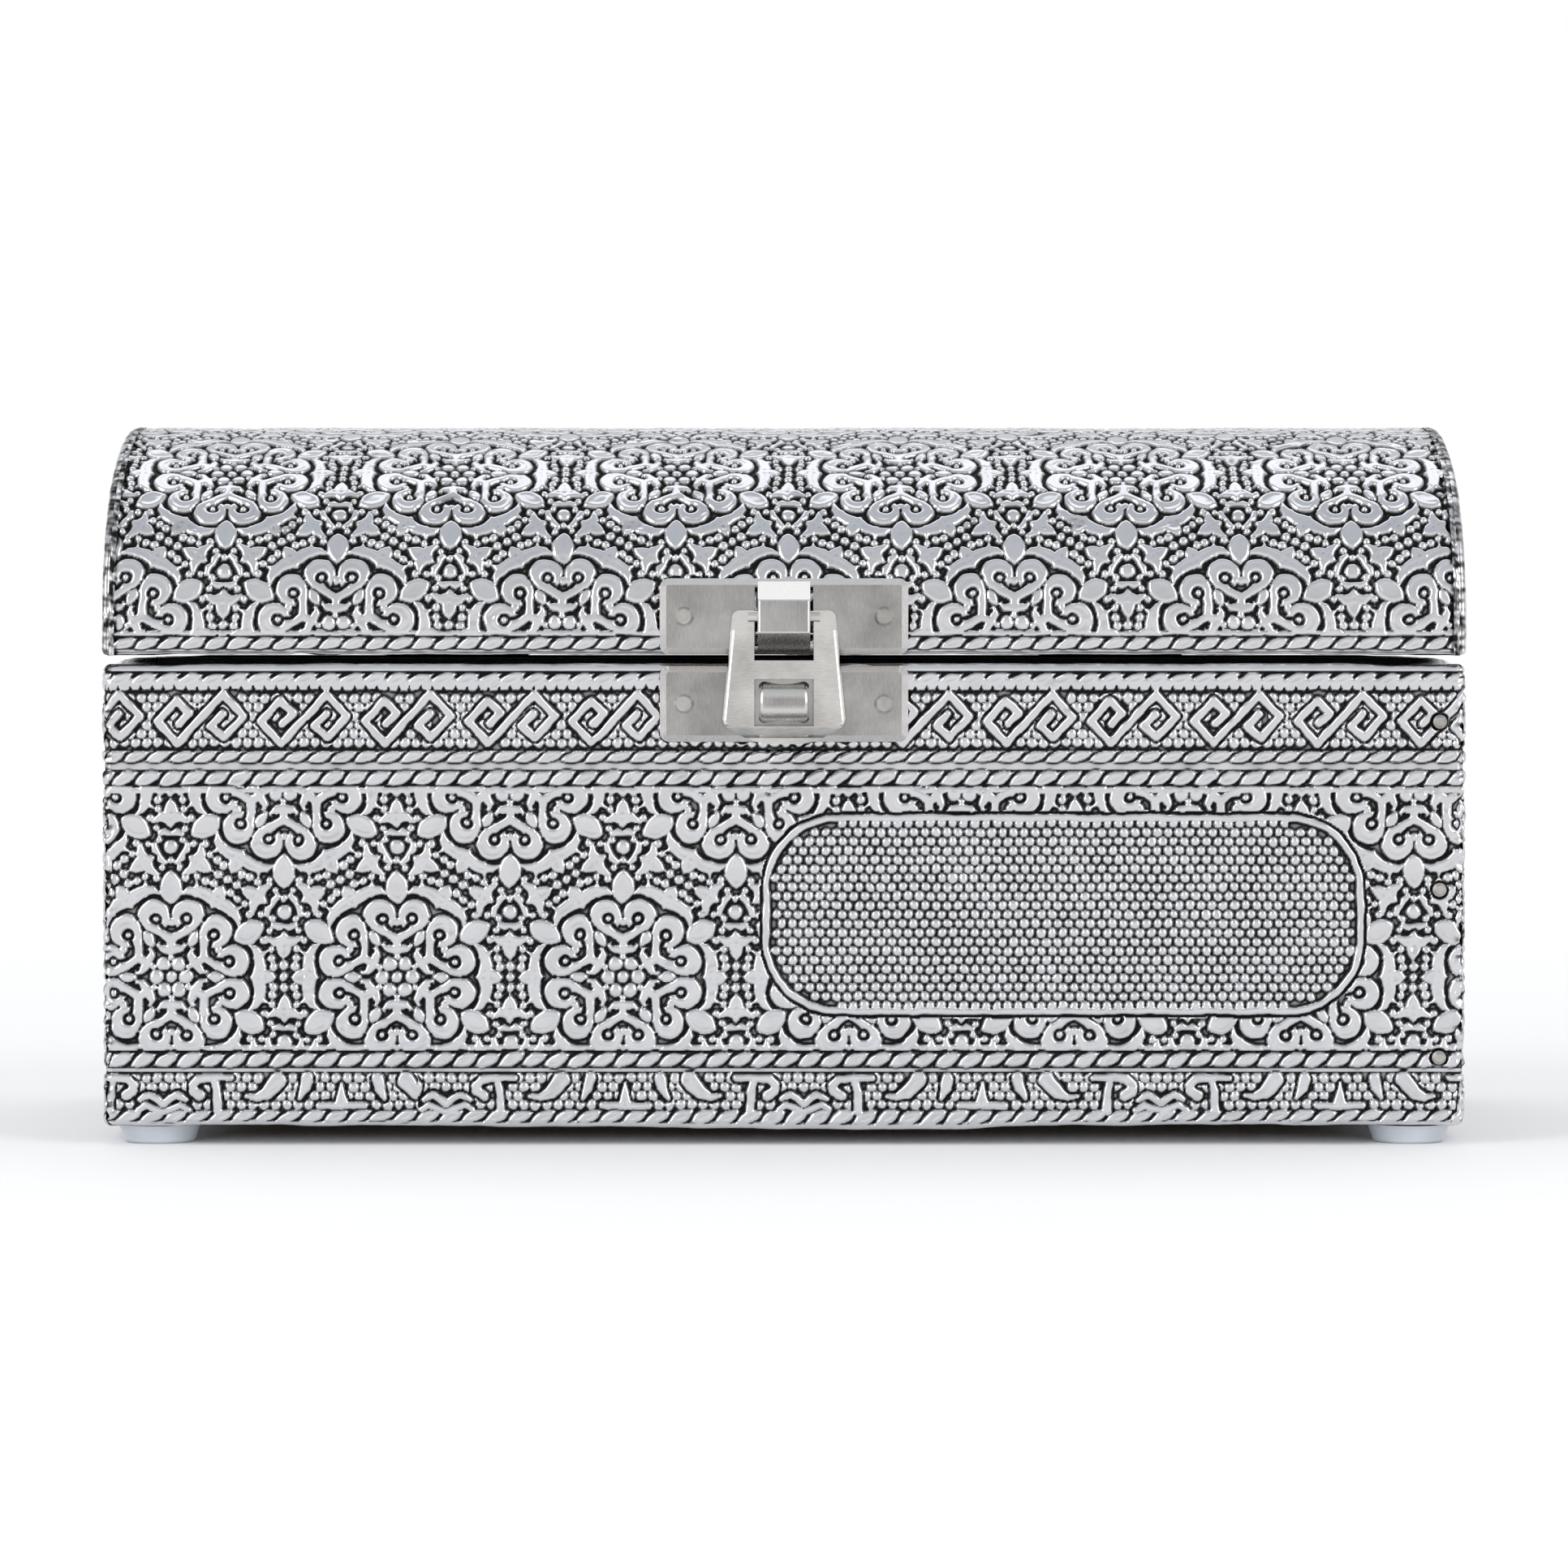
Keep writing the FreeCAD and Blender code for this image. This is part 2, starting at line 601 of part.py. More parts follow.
node("lid_cladding",
     cut("lid_cladding", dome_folds, dome_core, lid_mouth, dome_field, *upper_nail_holes, *lid_screw_holes))


def end_sheet(label, sign):
    """A pressed end sheet: a flat face, a fold over the dome and a hem under the end board."""
    def span(inner, outer):
        return (f"-({outer})", f"-({inner})") if sign < 0 else (inner, outer)

    def outer_edge(point):
        return near(sign * point.x, "half_width")

    solid = arch(label + "_solid", "0", "lid_bottom", *span(fold_x, "half_width"))
    rounded = dressed("Part::Fillet", label + "_rounded", solid, "edge_radius", outer_edge)
    inside = arch(label + "_inside", "cladding", "lid_core_bottom", *span(f"{fold_x} - {PAST}", "core_x"))
    shell = cut(label + "_shell", rounded, inside)
    hem = block(label + "_hem", span("inner_x", "core_x"), ("rail_front", "rail_back"),
                ("lid_bottom", "lid_core_bottom"))
    node(label, fuse(label, shell, hem))


end_sheet("lid_left_end_cladding", -1)
end_sheet("lid_right_end_cladding", 1)


# Butt hinges: each leaf carries two of the four knuckles

def knuckle_span(middle, place):
    start = f"{middle} - hinge_length / 2 + {place} * knuckle_pitch"
    return (f"{start} + knuckle_gap / 2", f"{start} + knuckle_pitch - knuckle_gap / 2")


def hinge_leaf(label, middle, own, other, low, high):
    """A leaf with its own knuckles, cut back round the knuckles of the other leaf."""
    plate = block(label + "_plate", (f"{middle} - hinge_length / 2", f"{middle} + hinge_length / 2"),
                  ("axis_y - leaf_width", "axis_y"), (low, high))
    knuckles = []
    for place in own:
        start, end = knuckle_span(middle, place)
        knuckles.append(rod(f"{label}_knuckle_{place}", "right", (start, "axis_y", "axis_z"),
                            "knuckle_radius", f"({end}) - ({start})"))
    reliefs = []
    for place in other:
        start, end = knuckle_span(middle, place)
        reliefs.append(block(f"{label}_relief_{place}", (f"{start} - knuckle_gap", f"{end} + knuckle_gap"),
                             ("axis_y - leaf_drop", "axis_y + leaf_drop"),
                             ("axis_z - leaf_drop", "axis_z + leaf_drop")))
    bore = rod(label + "_bore", "right", (f"{middle} - hinge_length / 2 - {PAST}", "axis_y", "axis_z"),
               "pin_radius + pin_fit", f"hinge_length + 2 * {PAST}")
    cleared = cut(label + "_cleared", plate, *reliefs)
    return cut(label, fuse(label + "_solid", cleared, *knuckles), bore)


for hinge, middle in HINGES.items():
    base_leaf = hinge_leaf(f"hinge_{hinge}_base_blank", middle, (0, 2), (1, 3),
                           "axis_z - leaf_drop", "axis_z - leaf_drop + leaf_sheet")
    lid_leaf = hinge_leaf(f"hinge_{hinge}_lid_blank", middle, (1, 3), (0, 2),
                          "axis_z + leaf_drop - leaf_sheet", "axis_z + leaf_drop")
    node(f"hinge_{hinge}_base_leaf", cut(f"hinge_{hinge}_base_leaf", base_leaf, *base_screw_holes))
    node(f"hinge_{hinge}_lid_leaf", cut(f"hinge_{hinge}_lid_leaf", lid_leaf, *lid_screw_holes))
    node(f"hinge_{hinge}_pin",
         rod(f"hinge_{hinge}_pin", "right",
             (f"{middle} - hinge_length / 2 + knuckle_gap", "axis_y", "axis_z"),
             "pin_radius", "hinge_length - 2 * knuckle_gap"))


# Latch plates: pressed pans, the upper one cut to sit on the dome

def latch_pan(name, height, rear):
    """A bevelled pan of sheet metal, open at the back."""
    def front_edge(point):
        return near(point.y, "plate_face")

    solid = rounded_plate(name + "_solid", "0", height, "plate_width", "plate_height", "plate_corner",
                          f"-({rear})", "-plate_face")
    bevelled = dressed("Part::Chamfer", name + "_bevelled", solid, "plate_bevel", front_edge)
    hollow = rounded_plate(name + "_hollow", "0", height, "plate_width - 2 * plate_sheet",
                           "plate_height - 2 * plate_sheet", "(plate_corner - plate_sheet)",
                           f"-({rear}) - {PAST}", "-plate_face - plate_sheet")
    return cut(name, bevelled, hollow)


def wedge(name, half_x, low_y, half_low, high_y, half_high):
    """A strap's solid: its height changes evenly between two distances along Y."""
    item = doc.addObject("Part::Wedge", name)
    sizes = {
        "Xmin": f"-({half_x})", "Xmax": half_x, "X2min": f"-({half_x})", "X2max": half_x,
        "Ymin": low_y, "Ymax": high_y,
        "Zmin": f"pivot_z - ({half_low})", "Zmax": f"pivot_z + ({half_low})",
        "Z2min": f"pivot_z - ({half_high})", "Z2max": f"pivot_z + ({half_high})",
    }
    for prop, text in sizes.items():
        item.setExpression(prop, formula(text))
    return item


def upper_plate():
    """The lid's plate, with the strap that is lanced out of it to hold the hasp."""
    def strap_edge(point):
        return near(point.y, "plate_face - bridge_rise")

    pan = latch_pan("upper_pan", "pivot_z", "rail_front")
    dome = arch("dome_under_plate", "0", "lid_bottom", "-plate_width", "plate_width")
    seated = cut("upper_pan_seated", pan, dome)
    sheet_back = "plate_face + plate_sheet"
    strap_foot = "bridge_height / 2 - bridge_sheet"
    lance = block("strap_lance", ("-bridge_width / 2 - bridge_slit", "bridge_width / 2 + bridge_slit"),
                  (f"plate_face - {PAST}", sheet_back),
                  (f"pivot_z - ({strap_foot})", f"pivot_z + {strap_foot}"))
    strap_outside = wedge("strap_outside", "bridge_width / 2", "plate_face - bridge_rise", "bridge_flat / 2",
                          sheet_back, "bridge_height / 2")
    strap_inside = wedge("strap_inside", f"bridge_width / 2 + {PAST}",
                         "plate_face - bridge_rise + bridge_sheet", "bridge_flat / 2", sheet_back, strap_foot)
    strap_eased = dressed("Part::Fillet", "strap_eased", strap_outside, "bridge_edge", strap_edge)
    strap = cut("strap", strap_eased, strap_inside)
    lanced = cut("upper_pan_lanced", seated, lance)
    node("latch_upper_plate",
         cut("latch_upper_plate", fuse("upper_plate_blank", lanced, strap), *upper_nail_holes))


def lower_plate():
    """The box's plate, with the rounded boss that the hasp snaps over."""
    def boss_end(point):
        return near(abs(point.x), "boss_width / 2")

    pan = latch_pan("lower_pan", "lower_plate_z", "front")
    boss_z = "pivot_z - (window_start + window_end) / 2"
    barrel = rod("boss_barrel", "right", ("-boss_width / 2", "plate_face - boss_rise + boss_radius", boss_z),
                 "boss_radius", "boss_width")
    ends = dressed("Part::Fillet", "boss_ends", barrel, "boss_edge", boss_end)
    outside = block("boss_outside", ("-boss_width", "boss_width"),
                    ("plate_face - 2 * boss_rise", "plate_face + plate_sheet / 2"),
                    (f"{boss_z} - boss_height", f"{boss_z} + boss_height"))
    hollows = []
    for side, sign in (("left", "-"), ("right", "")):
        hollow_x = f"{sign}(boss_width / 2 - boss_pinch + boss_pinch_radius)"
        hollows.append(rod(f"boss_{side}_hollow", "front", (hollow_x, "plate_face", boss_z),
                           "boss_pinch_radius", "2 * boss_rise"))
    for side, sign in (("lower", "-"), ("upper", "+")):
        hollow_z = f"{boss_z} {sign} (boss_height / 2 - boss_pinch + boss_pinch_radius)"
        hollows.append(rod(f"boss_{side}_hollow", "front", ("0", "plate_face", hollow_z),
                           "boss_pinch_radius", "2 * boss_rise"))
    boss = cut("boss", common("boss_block", ends, outside), *hollows)
    node("latch_lower_plate",
         cut("latch_lower_plate", fuse("lower_plate_blank", pan, boss), *lower_nail_holes))


# Hasp: a frame that turns on its upper bar, stepped out below its ears, with a lip turned out at the bottom

def hasp_outline(name, low, high):
    corner_z = "pivot_z - hasp_corner_drop"
    top_z = "pivot_z + hasp_bar / 2"
    corners = [
        ("-hasp_bottom_width / 2", corner_z),
        ("hasp_bottom_width / 2", corner_z),
        ("hasp_top_width / 2", top_z),
        ("-hasp_top_width / 2", top_z),
    ]
    return prism(name, "XZ_Plane", [(corners, {0: "hasp_arc_radius"})], low, high)


def hasp():
    def corner_edge(point):
        top = near(point.z, "pivot_z + hasp_bar / 2") and near(abs(point.x), "hasp_top_width / 2")
        bottom = near(point.z, "pivot_z - hasp_corner_drop") and near(abs(point.x), "hasp_bottom_width / 2")
        return top or bottom

    def face_edge(point):
        beside = abs(point.x) > value("hasp_opening / 2 + hasp_edge")
        below_window = point.z < value("pivot_z - window_end")
        return near(point.y, "hasp_front") and (beside or below_window)

    lip_y = "hasp_front - lip_radius"
    lip_z = "pivot_z - window_end"
    wide = ("-hasp_bottom_width", "hasp_bottom_width")
    opening_x = ("-hasp_opening / 2", "hasp_opening / 2")
    through = (f"hasp_front - {PAST}", f"ear_back + {PAST}")
    above = f"pivot_z + hasp_bar + {PAST}"
    below = f"{lip_z} - hasp_corner_drop"
    slot = block("hasp_slot", opening_x, through, ("pivot_z - slot_drop", above))
    window = block("hasp_window", opening_x, through, (lip_z, "pivot_z - window_start"))
    flat = hasp_outline("hasp_flat", "-hasp_back", "-hasp_front")
    cornered = dressed("Part::Fillet", "hasp_cornered", flat, "hasp_corner", corner_edge)
    over_face = block("hasp_over_face", wide, through, ("pivot_z - hasp_ear + hasp_bend", above))
    under_face = block("hasp_under_face", wide, through, (below, lip_z))
    opened = cut("hasp_opened", cornered, slot, window, over_face)
    eased = dressed("Part::Fillet", "hasp_eased", opened, "hasp_edge", face_edge)
    face = cut("hasp_face", eased, under_face)
    ear_flat = hasp_outline("hasp_ear_flat", "-ear_back", "-ear_front")
    ear_cornered = dressed("Part::Fillet", "hasp_ear_cornered", ear_flat, "hasp_corner", corner_edge)
    under_ears = block("hasp_under_ears", wide, through, (below, "pivot_z - hasp_ear"))
    ears = cut("hasp_ears", ear_cornered, slot, under_ears)
    bar = rod("hasp_bar_rod", "right", ("-hasp_opening / 2 - hasp_bar / 2", "pivot_y", "pivot_z"),
              "hasp_bar / 2", "hasp_opening + hasp_bar")
    lip_start = ("-hasp_bottom_width / 2", lip_y, lip_z)
    lip_outside = rod("lip_outside", "right", lip_start, "lip_radius + hasp_sheet", "hasp_bottom_width")
    lip_inside = rod("lip_inside", "right", lip_start, "lip_radius", "hasp_bottom_width")
    quarter = block("lip_quarter", wide, (lip_y, "hasp_back"),
                    (f"{lip_z} - 2 * (lip_radius + hasp_sheet)", lip_z))
    curl = common("lip_curl", cut("lip_ring", lip_outside, lip_inside), quarter)
    lip = common("hasp_lip", curl, hasp_outline("lip_outline", "-hasp_back", f"-({lip_y})"))
    node("latch_hasp", fuse("latch_hasp", face, ears, bar, lip))


upper_plate()
lower_plate()
hasp()


# Check every feature, then write each sub-part

doc.recompute()
for item in doc.Objects:
    if "Invalid" in item.State or "Error" in item.State:
        raise RuntimeError(f"{item.Label} failed: {item.State}")
os.makedirs("parts", exist_ok=True)
for item in nodes:
    shape = item.Shape
    if shape.isNull() or not shape.isValid() or not shape.Solids:
        raise RuntimeError(f"{item.Label} has no valid solid")
for item in nodes:
    item.Shape.exportStep(f"parts/{item.Label}.step")
    print(f"{item.Label}: {len(item.Shape.Solids)} solids, {item.Shape.Volume:.1f} mm3")
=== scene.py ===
import math

import bpy
import numpy as np
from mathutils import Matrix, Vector


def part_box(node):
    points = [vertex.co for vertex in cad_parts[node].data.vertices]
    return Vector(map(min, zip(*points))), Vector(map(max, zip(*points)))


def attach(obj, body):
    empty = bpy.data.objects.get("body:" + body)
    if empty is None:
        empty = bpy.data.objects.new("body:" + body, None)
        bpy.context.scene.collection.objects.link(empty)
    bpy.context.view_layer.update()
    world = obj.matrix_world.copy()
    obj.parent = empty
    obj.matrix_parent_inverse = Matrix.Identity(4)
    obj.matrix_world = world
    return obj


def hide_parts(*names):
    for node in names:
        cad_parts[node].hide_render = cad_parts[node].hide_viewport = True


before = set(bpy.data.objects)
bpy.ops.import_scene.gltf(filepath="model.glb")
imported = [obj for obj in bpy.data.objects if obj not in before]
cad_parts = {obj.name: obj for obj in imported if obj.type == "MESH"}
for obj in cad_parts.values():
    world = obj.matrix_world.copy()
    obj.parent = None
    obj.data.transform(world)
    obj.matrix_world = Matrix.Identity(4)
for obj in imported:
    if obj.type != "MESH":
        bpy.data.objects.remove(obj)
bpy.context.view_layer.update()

# Lengths are in millimetres until a mesh is written. +Z is up and the front faces -Y.
MM = 0.001


def corners(node):
    low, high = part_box(node)
    return np.array(low) / MM, np.array(high) / MM


base_low, base_high = corners("base_cladding")
dome_low, dome_high = corners("lid_cladding")
HALF_WIDTH = base_high[0]
FRONT, BACK = base_low[1], base_high[1]
MIDDLE = (FRONT + BACK) / 2
HALF_DEPTH = (BACK - FRONT) / 2
BASE_BOTTOM, BASE_TOP = base_low[2], base_high[2]
LID_BOTTOM, LID_TOP = dome_low[2], dome_high[2]
DOME_END = dome_high[0]

CORNER = 1.5  # radius of the upright corners
FOLD = 1.1  # radius of the folded edges
SHEET = 0.8  # thickness of the cladding over its relief
RELIEF = 0.62  # depth of the embossing
WALL = 6.0  # thickness of the box's boards
RIM = SHEET + WALL  # width of the hem over the rim
LID_SIDE = 2.5  # straight part of the lid below the dome
SHOULDER = 25.0  # radius of the dome's shoulders
SPRING = LID_BOTTOM + LID_SIDE
RISE = LID_TOP - SPRING
CROWN = ((HALF_DEPTH - SHOULDER) ** 2 + RISE ** 2 - SHOULDER ** 2) / (2 * (RISE - SHOULDER))
CROWN_ANGLE = math.atan2(HALF_DEPTH - SHOULDER, CROWN - RISE)
SHOULDER_ANGLE = math.pi / 2 - CROWN_ANGLE
HALF_ARC = LID_SIDE + SHOULDER * SHOULDER_ANGLE + CROWN * CROWN_ANGLE
ARC = 2 * HALF_ARC  # from edge to edge over the dome
HINGE_MIDDLE = 46.7  # distance of each hinge from the middle
NOTCH_HALF = 10.8  # half the length of a hinge notch
NOTCH_FLOOR = 60.1
CLEAR = 0.04  # kept between a mesh and the far face of its sheet
DEEPEST = SHEET - CLEAR
UP = np.array([0.0, 0.0, 1.0])

# Spacing of the points of the embossed meshes
FRONT_STEP = 0.155
BACK_STEP = 0.18
SIDE_STEP = 0.21


# Embossed shapes. Each gives how deep a point lies inside its outline, or a height from 0 to 1.

def pillow(depth, edge):
    t = np.clip(depth / edge, 0, 1)
    return np.sqrt(t * (2 - t))


def smooth(low, high, value):
    t = np.clip((value - low) / (high - low), 0, 1)
    return t * t * (3 - 2 * t)


SPREAD = 0.12  # how far the bright part of a raised shape reaches past its drawn outline
EDGE_WIDTH = 0.45  # width of the rounded edge of a raised shape
SHAPE_TOP = 0.95
DISH = 0.13
DISH_RUN = (0.42, 1.05)  # depths inside the outline between which the dish goes down
DOT_SPREAD = 0.04
DOT_EDGE = 0.85  # width of a bead's rounded edge, in radii
DOT_TOP = 0.92


def raised(depth, edge=EDGE_WIDTH):
    """A shape with a rounded edge and a slightly dished top."""
    depth = depth + SPREAD
    return pillow(depth, edge) * SHAPE_TOP - DISH * smooth(*DISH_RUN, depth)


def dot(x, y, cx, cy, radius):
    return pillow(radius + DOT_SPREAD - np.hypot(x - cx, y - cy), radius * DOT_EDGE) * DOT_TOP


def lens(x, y, start, end, width):
    """A pointed oval between two points."""
    length = math.dist(start, end)
    along = (end[0] - start[0]) / length, (end[1] - start[1]) / length
    px, py = x - (start[0] + end[0]) / 2, y - (start[1] + end[1]) / 2
    a = px * along[0] + py * along[1]
    b = np.abs(py * along[0] - px * along[1])
    radius = (length ** 2 + width ** 2) / (4 * width)
    return radius - np.hypot(a, b + radius - width / 2)


FAR_OUT = -9.0  # depth of a point that is nowhere near a stroke


def stroke(x, y, points):
    """A line through (x, y, width) points."""
    depth = np.full(np.broadcast(x, y).shape, FAR_OUT)
    for (ax, ay, aw), (bx, by, bw) in zip(points, points[1:]):
        dx, dy = bx - ax, by - ay
        t = np.clip(((x - ax) * dx + (y - ay) * dy) / (dx * dx + dy * dy), 0, 1)
        depth = np.maximum(depth, (aw + (bw - aw) * t) / 2 - np.hypot(x - ax - t * dx, y - ay - t * dy))
    return depth


def polar(radius, degrees):
    return radius * math.cos(math.radians(degrees)), radius * math.sin(math.radians(degrees))


def highest(*heights):
    result = heights[0]
    for height in heights[1:]:
        result = np.maximum(result, height)
    return result


# Flower medallions on a hexagonal lattice

PITCH = 29.46
ROW = PITCH * math.sqrt(3) / 2


def wedge(u, v):
    """Folds the lattice onto one mirror wedge: x runs towards the next flower, y across."""
    au, av = u - PITCH * np.round(u / PITCH), v - 2 * ROW * np.round(v / (2 * ROW))
    su, sv = u - PITCH / 2, v - ROW
    bu, bv = su - PITCH * np.round(su / PITCH), sv - 2 * ROW * np.round(sv / (2 * ROW))
    nearer = np.hypot(bu, bv) < np.hypot(au, av)
    x, y = np.where(nearer, bu, au), np.where(nearer, bv, av)
    radius, angle = np.hypot(x, y), np.arctan2(y, x)
    angle = np.abs((angle + math.pi / 6) % (math.pi / 3) - math.pi / 6)
    return radius * np.cos(angle), radius * np.sin(angle)


# Places in the wedge, in millimetres from the flower's middle. Beads are (x, y, radius), strokes are
# (x, y, width) points, and leaves (start, end, width). EDGE is half way to the next flower.
EDGE = PITCH / 2
EYE = (7.55, 2.08)
EYE_RADIUS = 0.84  # hollow round the bead in a scroll's eye
LOBE = (8.10, 2.08)
LOBE_RADIUS = 2.1
LOBE_CLEFT = 0.24  # half the gap between two lobes
BOW_EYE = (4.5, 1.15)
BOW_EYE_RADIUS = 0.38
FLOWER_BEADS = [(0, 0, 0.74), (1.95, 0, 0.95), (*polar(2.64, 30), 0.42)]
SCROLL_BEADS = [(*polar(7.18, 30), 0.57), (*EYE, 0.42)]
GROUND_BEADS = [(EDGE, 8.505, 1.0), (13.2, 7.62, 0.48), (EDGE, 0, 0.6), (EDGE, 1.4, 0.62), (13.35, 1.3, 0.6),
                (13.1, 2.4, 0.58), (13.05, 3.6, 0.5), (12.1, 4.75, 0.52), (12.9, 6.1, 0.48)]
STEM = [(*polar(4.95, 30), 1.15), (5.5, 1.75, 1.0), (6.7, 1.08, 1.0), (7.7, 0.64, 1.0), (8.3, 0.45, 0.7)]
BOW = [(*polar(3.5, 30), 1.05), (3.8, 0.85, 1.0), (4.35, 0.68, 0.7)]
NECK = [(*polar(3.5, 30), 1.15), (*polar(5.0, 30), 1.1)]
SCROLL_GROOVE = [(*polar(5.6, 30), 0.46), (*polar(6.72, 19.5), 0.54), (*EYE, 0.64)]
CROWN_WING = [(11.4, 0, 1.7), (11.6, 1.4, 1.6), (11.47, 2.7, 1.35), (10.95, 3.65, 1.0), (10.25, 4.2, 0.35)]
WING_POINT = [(11.3, 2.65, 1.3), (12.45, 3.35, 0.1)]
WAVY_BAR = [(EDGE, 6.72, 0.5), (14.0, 6.55, 0.9), (13.35, 6.78, 0.65)]
LEAF_WING = [(EDGE, 4.75, 1.6), (13.7, 4.6, 1.3), (13.0, 4.9, 0.85), (12.45, 5.25, 0.3)]
BUD = ((4.6, 0), (6.9, 0), 1.3)
WING_TIP = ((10.3, 0), (13.75, 0), 2.0)
SMALL_LEAF = ((EDGE, 6.0), (EDGE, 2.2), 1.9)
LARGE_LEAF = (polar(9.5, 30), polar(13.95, 30), 2.9)
LARGE_LEAF_EDGE = 0.6


def flowers(u, v):
    """Height of the medallions and of the leaves and beads between them."""
    x, y = wedge(u, v)
    eye_gap = np.hypot(x - EYE[0], y - EYE[1]) - EYE_RADIUS
    lobe = np.minimum(LOBE_RADIUS - np.hypot(x - LOBE[0], y - LOBE[1]), -stroke(x, y, SCROLL_GROOVE))
    lobe = np.minimum(lobe, np.minimum(eye_gap, y - LOBE_CLEFT))
    stem = np.minimum(stroke(x, y, STEM), eye_gap)
    bow = np.minimum(stroke(x, y, BOW), np.hypot(x - BOW_EYE[0], y - BOW_EYE[1]) - BOW_EYE_RADIUS)
    wing = np.maximum(stroke(x, y, CROWN_WING), stroke(x, y, WING_POINT))
    shapes = [lobe, stem, bow, wing]
    shapes += [stroke(x, y, points) for points in (NECK, WAVY_BAR, LEAF_WING)]
    shapes += [lens(x, y, *leaf) for leaf in (BUD, WING_TIP, SMALL_LEAF)]
    beads = [dot(x, y, *bead) for bead in FLOWER_BEADS + SCROLL_BEADS + GROUND_BEADS]
    large_leaf = raised(lens(x, y, *LARGE_LEAF), LARGE_LEAF_EDGE)
    return highest(large_leaf, *(raised(shape) for shape in shapes), *beads)


# Rope borders, smooth lines, dotted grounds, and the figures that stand on them

ROPE_PITCH = 3.0
ROPE_HEIGHT = 2.1
ROPE_TILT = math.radians(24)
STRAND_HALF = 1.78  # half the length of a strand
STRAND_WIDTH = 1.62
STRAND_EDGE = 0.5
RIDGE_EDGE = 0.35


def rope(u, v, shift=0.0, middle=0.0, height=ROPE_HEIGHT):
    """Slanted strands side by side. shift moves them along, middle is the level of the rope's middle."""
    stretch = ROPE_HEIGHT / height
    base = ((u + shift) % ROPE_PITCH) - ROPE_PITCH / 2
    strands = []
    for neighbour in (-ROPE_PITCH, 0, ROPE_PITCH):
        x, y = base + neighbour, (v - middle) * stretch
        a = x * math.cos(ROPE_TILT) + y * math.sin(ROPE_TILT)
        b = y * math.cos(ROPE_TILT) - x * math.sin(ROPE_TILT)
        strand = lens(a, b, (-STRAND_HALF, 0), (STRAND_HALF, 0), STRAND_WIDTH)
        strands.append(raised(strand, STRAND_EDGE))
    return highest(*strands)


def ridge(v, low, high, top=0.8):
    """A smooth line between two heights."""
    return pillow(np.minimum(v - low, high - v), RIDGE_EDGE) * top


DOT_PITCH, DOT_ROW, DOT_RADIUS = 1.46, 1.16, 0.68
LEAST_RADIUS, MORE_RADIUS = 0.93, 0.1  # beads vary a little in size and height
LEAST_HEIGHT, MORE_HEIGHT = 0.86, 0.14
BEAD_MARGIN = 0.05  # a bead's middle stays this far from a figure


def chance(x, y):
    """A number from 0 to 1 that looks random but belongs to the place."""
    return np.modf(np.abs(np.sin(x * 12.99 + y * 78.23) * 4375.85))[0]


def dotted(u, v, clear, pitch=DOT_PITCH, row=DOT_ROW, radius=DOT_RADIUS):
    """Staggered rows of beads, left out where clear gives a positive depth near the bead's middle."""
    height = np.zeros(np.broadcast(u, v).shape)
    for half in (0, 1):
        cv = (np.round(v / row / 2 - half / 2) * 2 + half) * row
        cu = np.round(u / pitch - half / 2) * pitch + half * pitch / 2
        luck = chance(cu, cv)
        bead = dot(u, v, cu, cv, radius * (LEAST_RADIUS + MORE_RADIUS * luck))
        bead = bead * (LEAST_HEIGHT + MORE_HEIGHT * luck)
        height = np.maximum(height, np.where(clear(cu, cv) > -BEAD_MARGIN, 0, bead))
    return height


KEY_PITCH = 13.5
KEY_LINE = [(-2.77, -0.6), (-1.39, 0.79), (-3.05, 2.43), (-5.54, -0.28), (-2.99, -3.16),
            (2.99, 3.24), (5.65, 0.36), (3.09, -2.4), (1.39, -0.9), (2.88, 0.68)]
KEY_WIDTH = 1.0
FIGURE_EDGE = 0.38
GROOVE = (-0.44, -0.22)  # depths outside a figure between which the beads are cut away


def key_depth(u, v):
    """Depth inside the line of a pair of square spirals."""
    points = [(x, y, KEY_WIDTH) for x, y in KEY_LINE]
    x = u - KEY_PITCH * np.round(u / KEY_PITCH)
    return stroke(x, v, points)


def beaded(u, v, figure, shift, low, high):
    """Raised figures on a ground of beads. Rows of beads start at shift and lie between low and high."""
    def taken(cu, cv):
        cv = cv + shift
        return highest(figure(cu, cv), low - cv, cv - high)

    depth = figure(u, v)
    groove = smooth(*GROOVE, depth)
    return np.maximum(raised(depth, FIGURE_EDGE), dotted(u, v - shift, taken) * (1 - groove))


def meander(u, v):
    """Square spirals in pairs on a beaded ground, v from the middle of the band."""
    return beaded(u, v, key_depth, shift=0.38, low=-3.87, high=3.07)


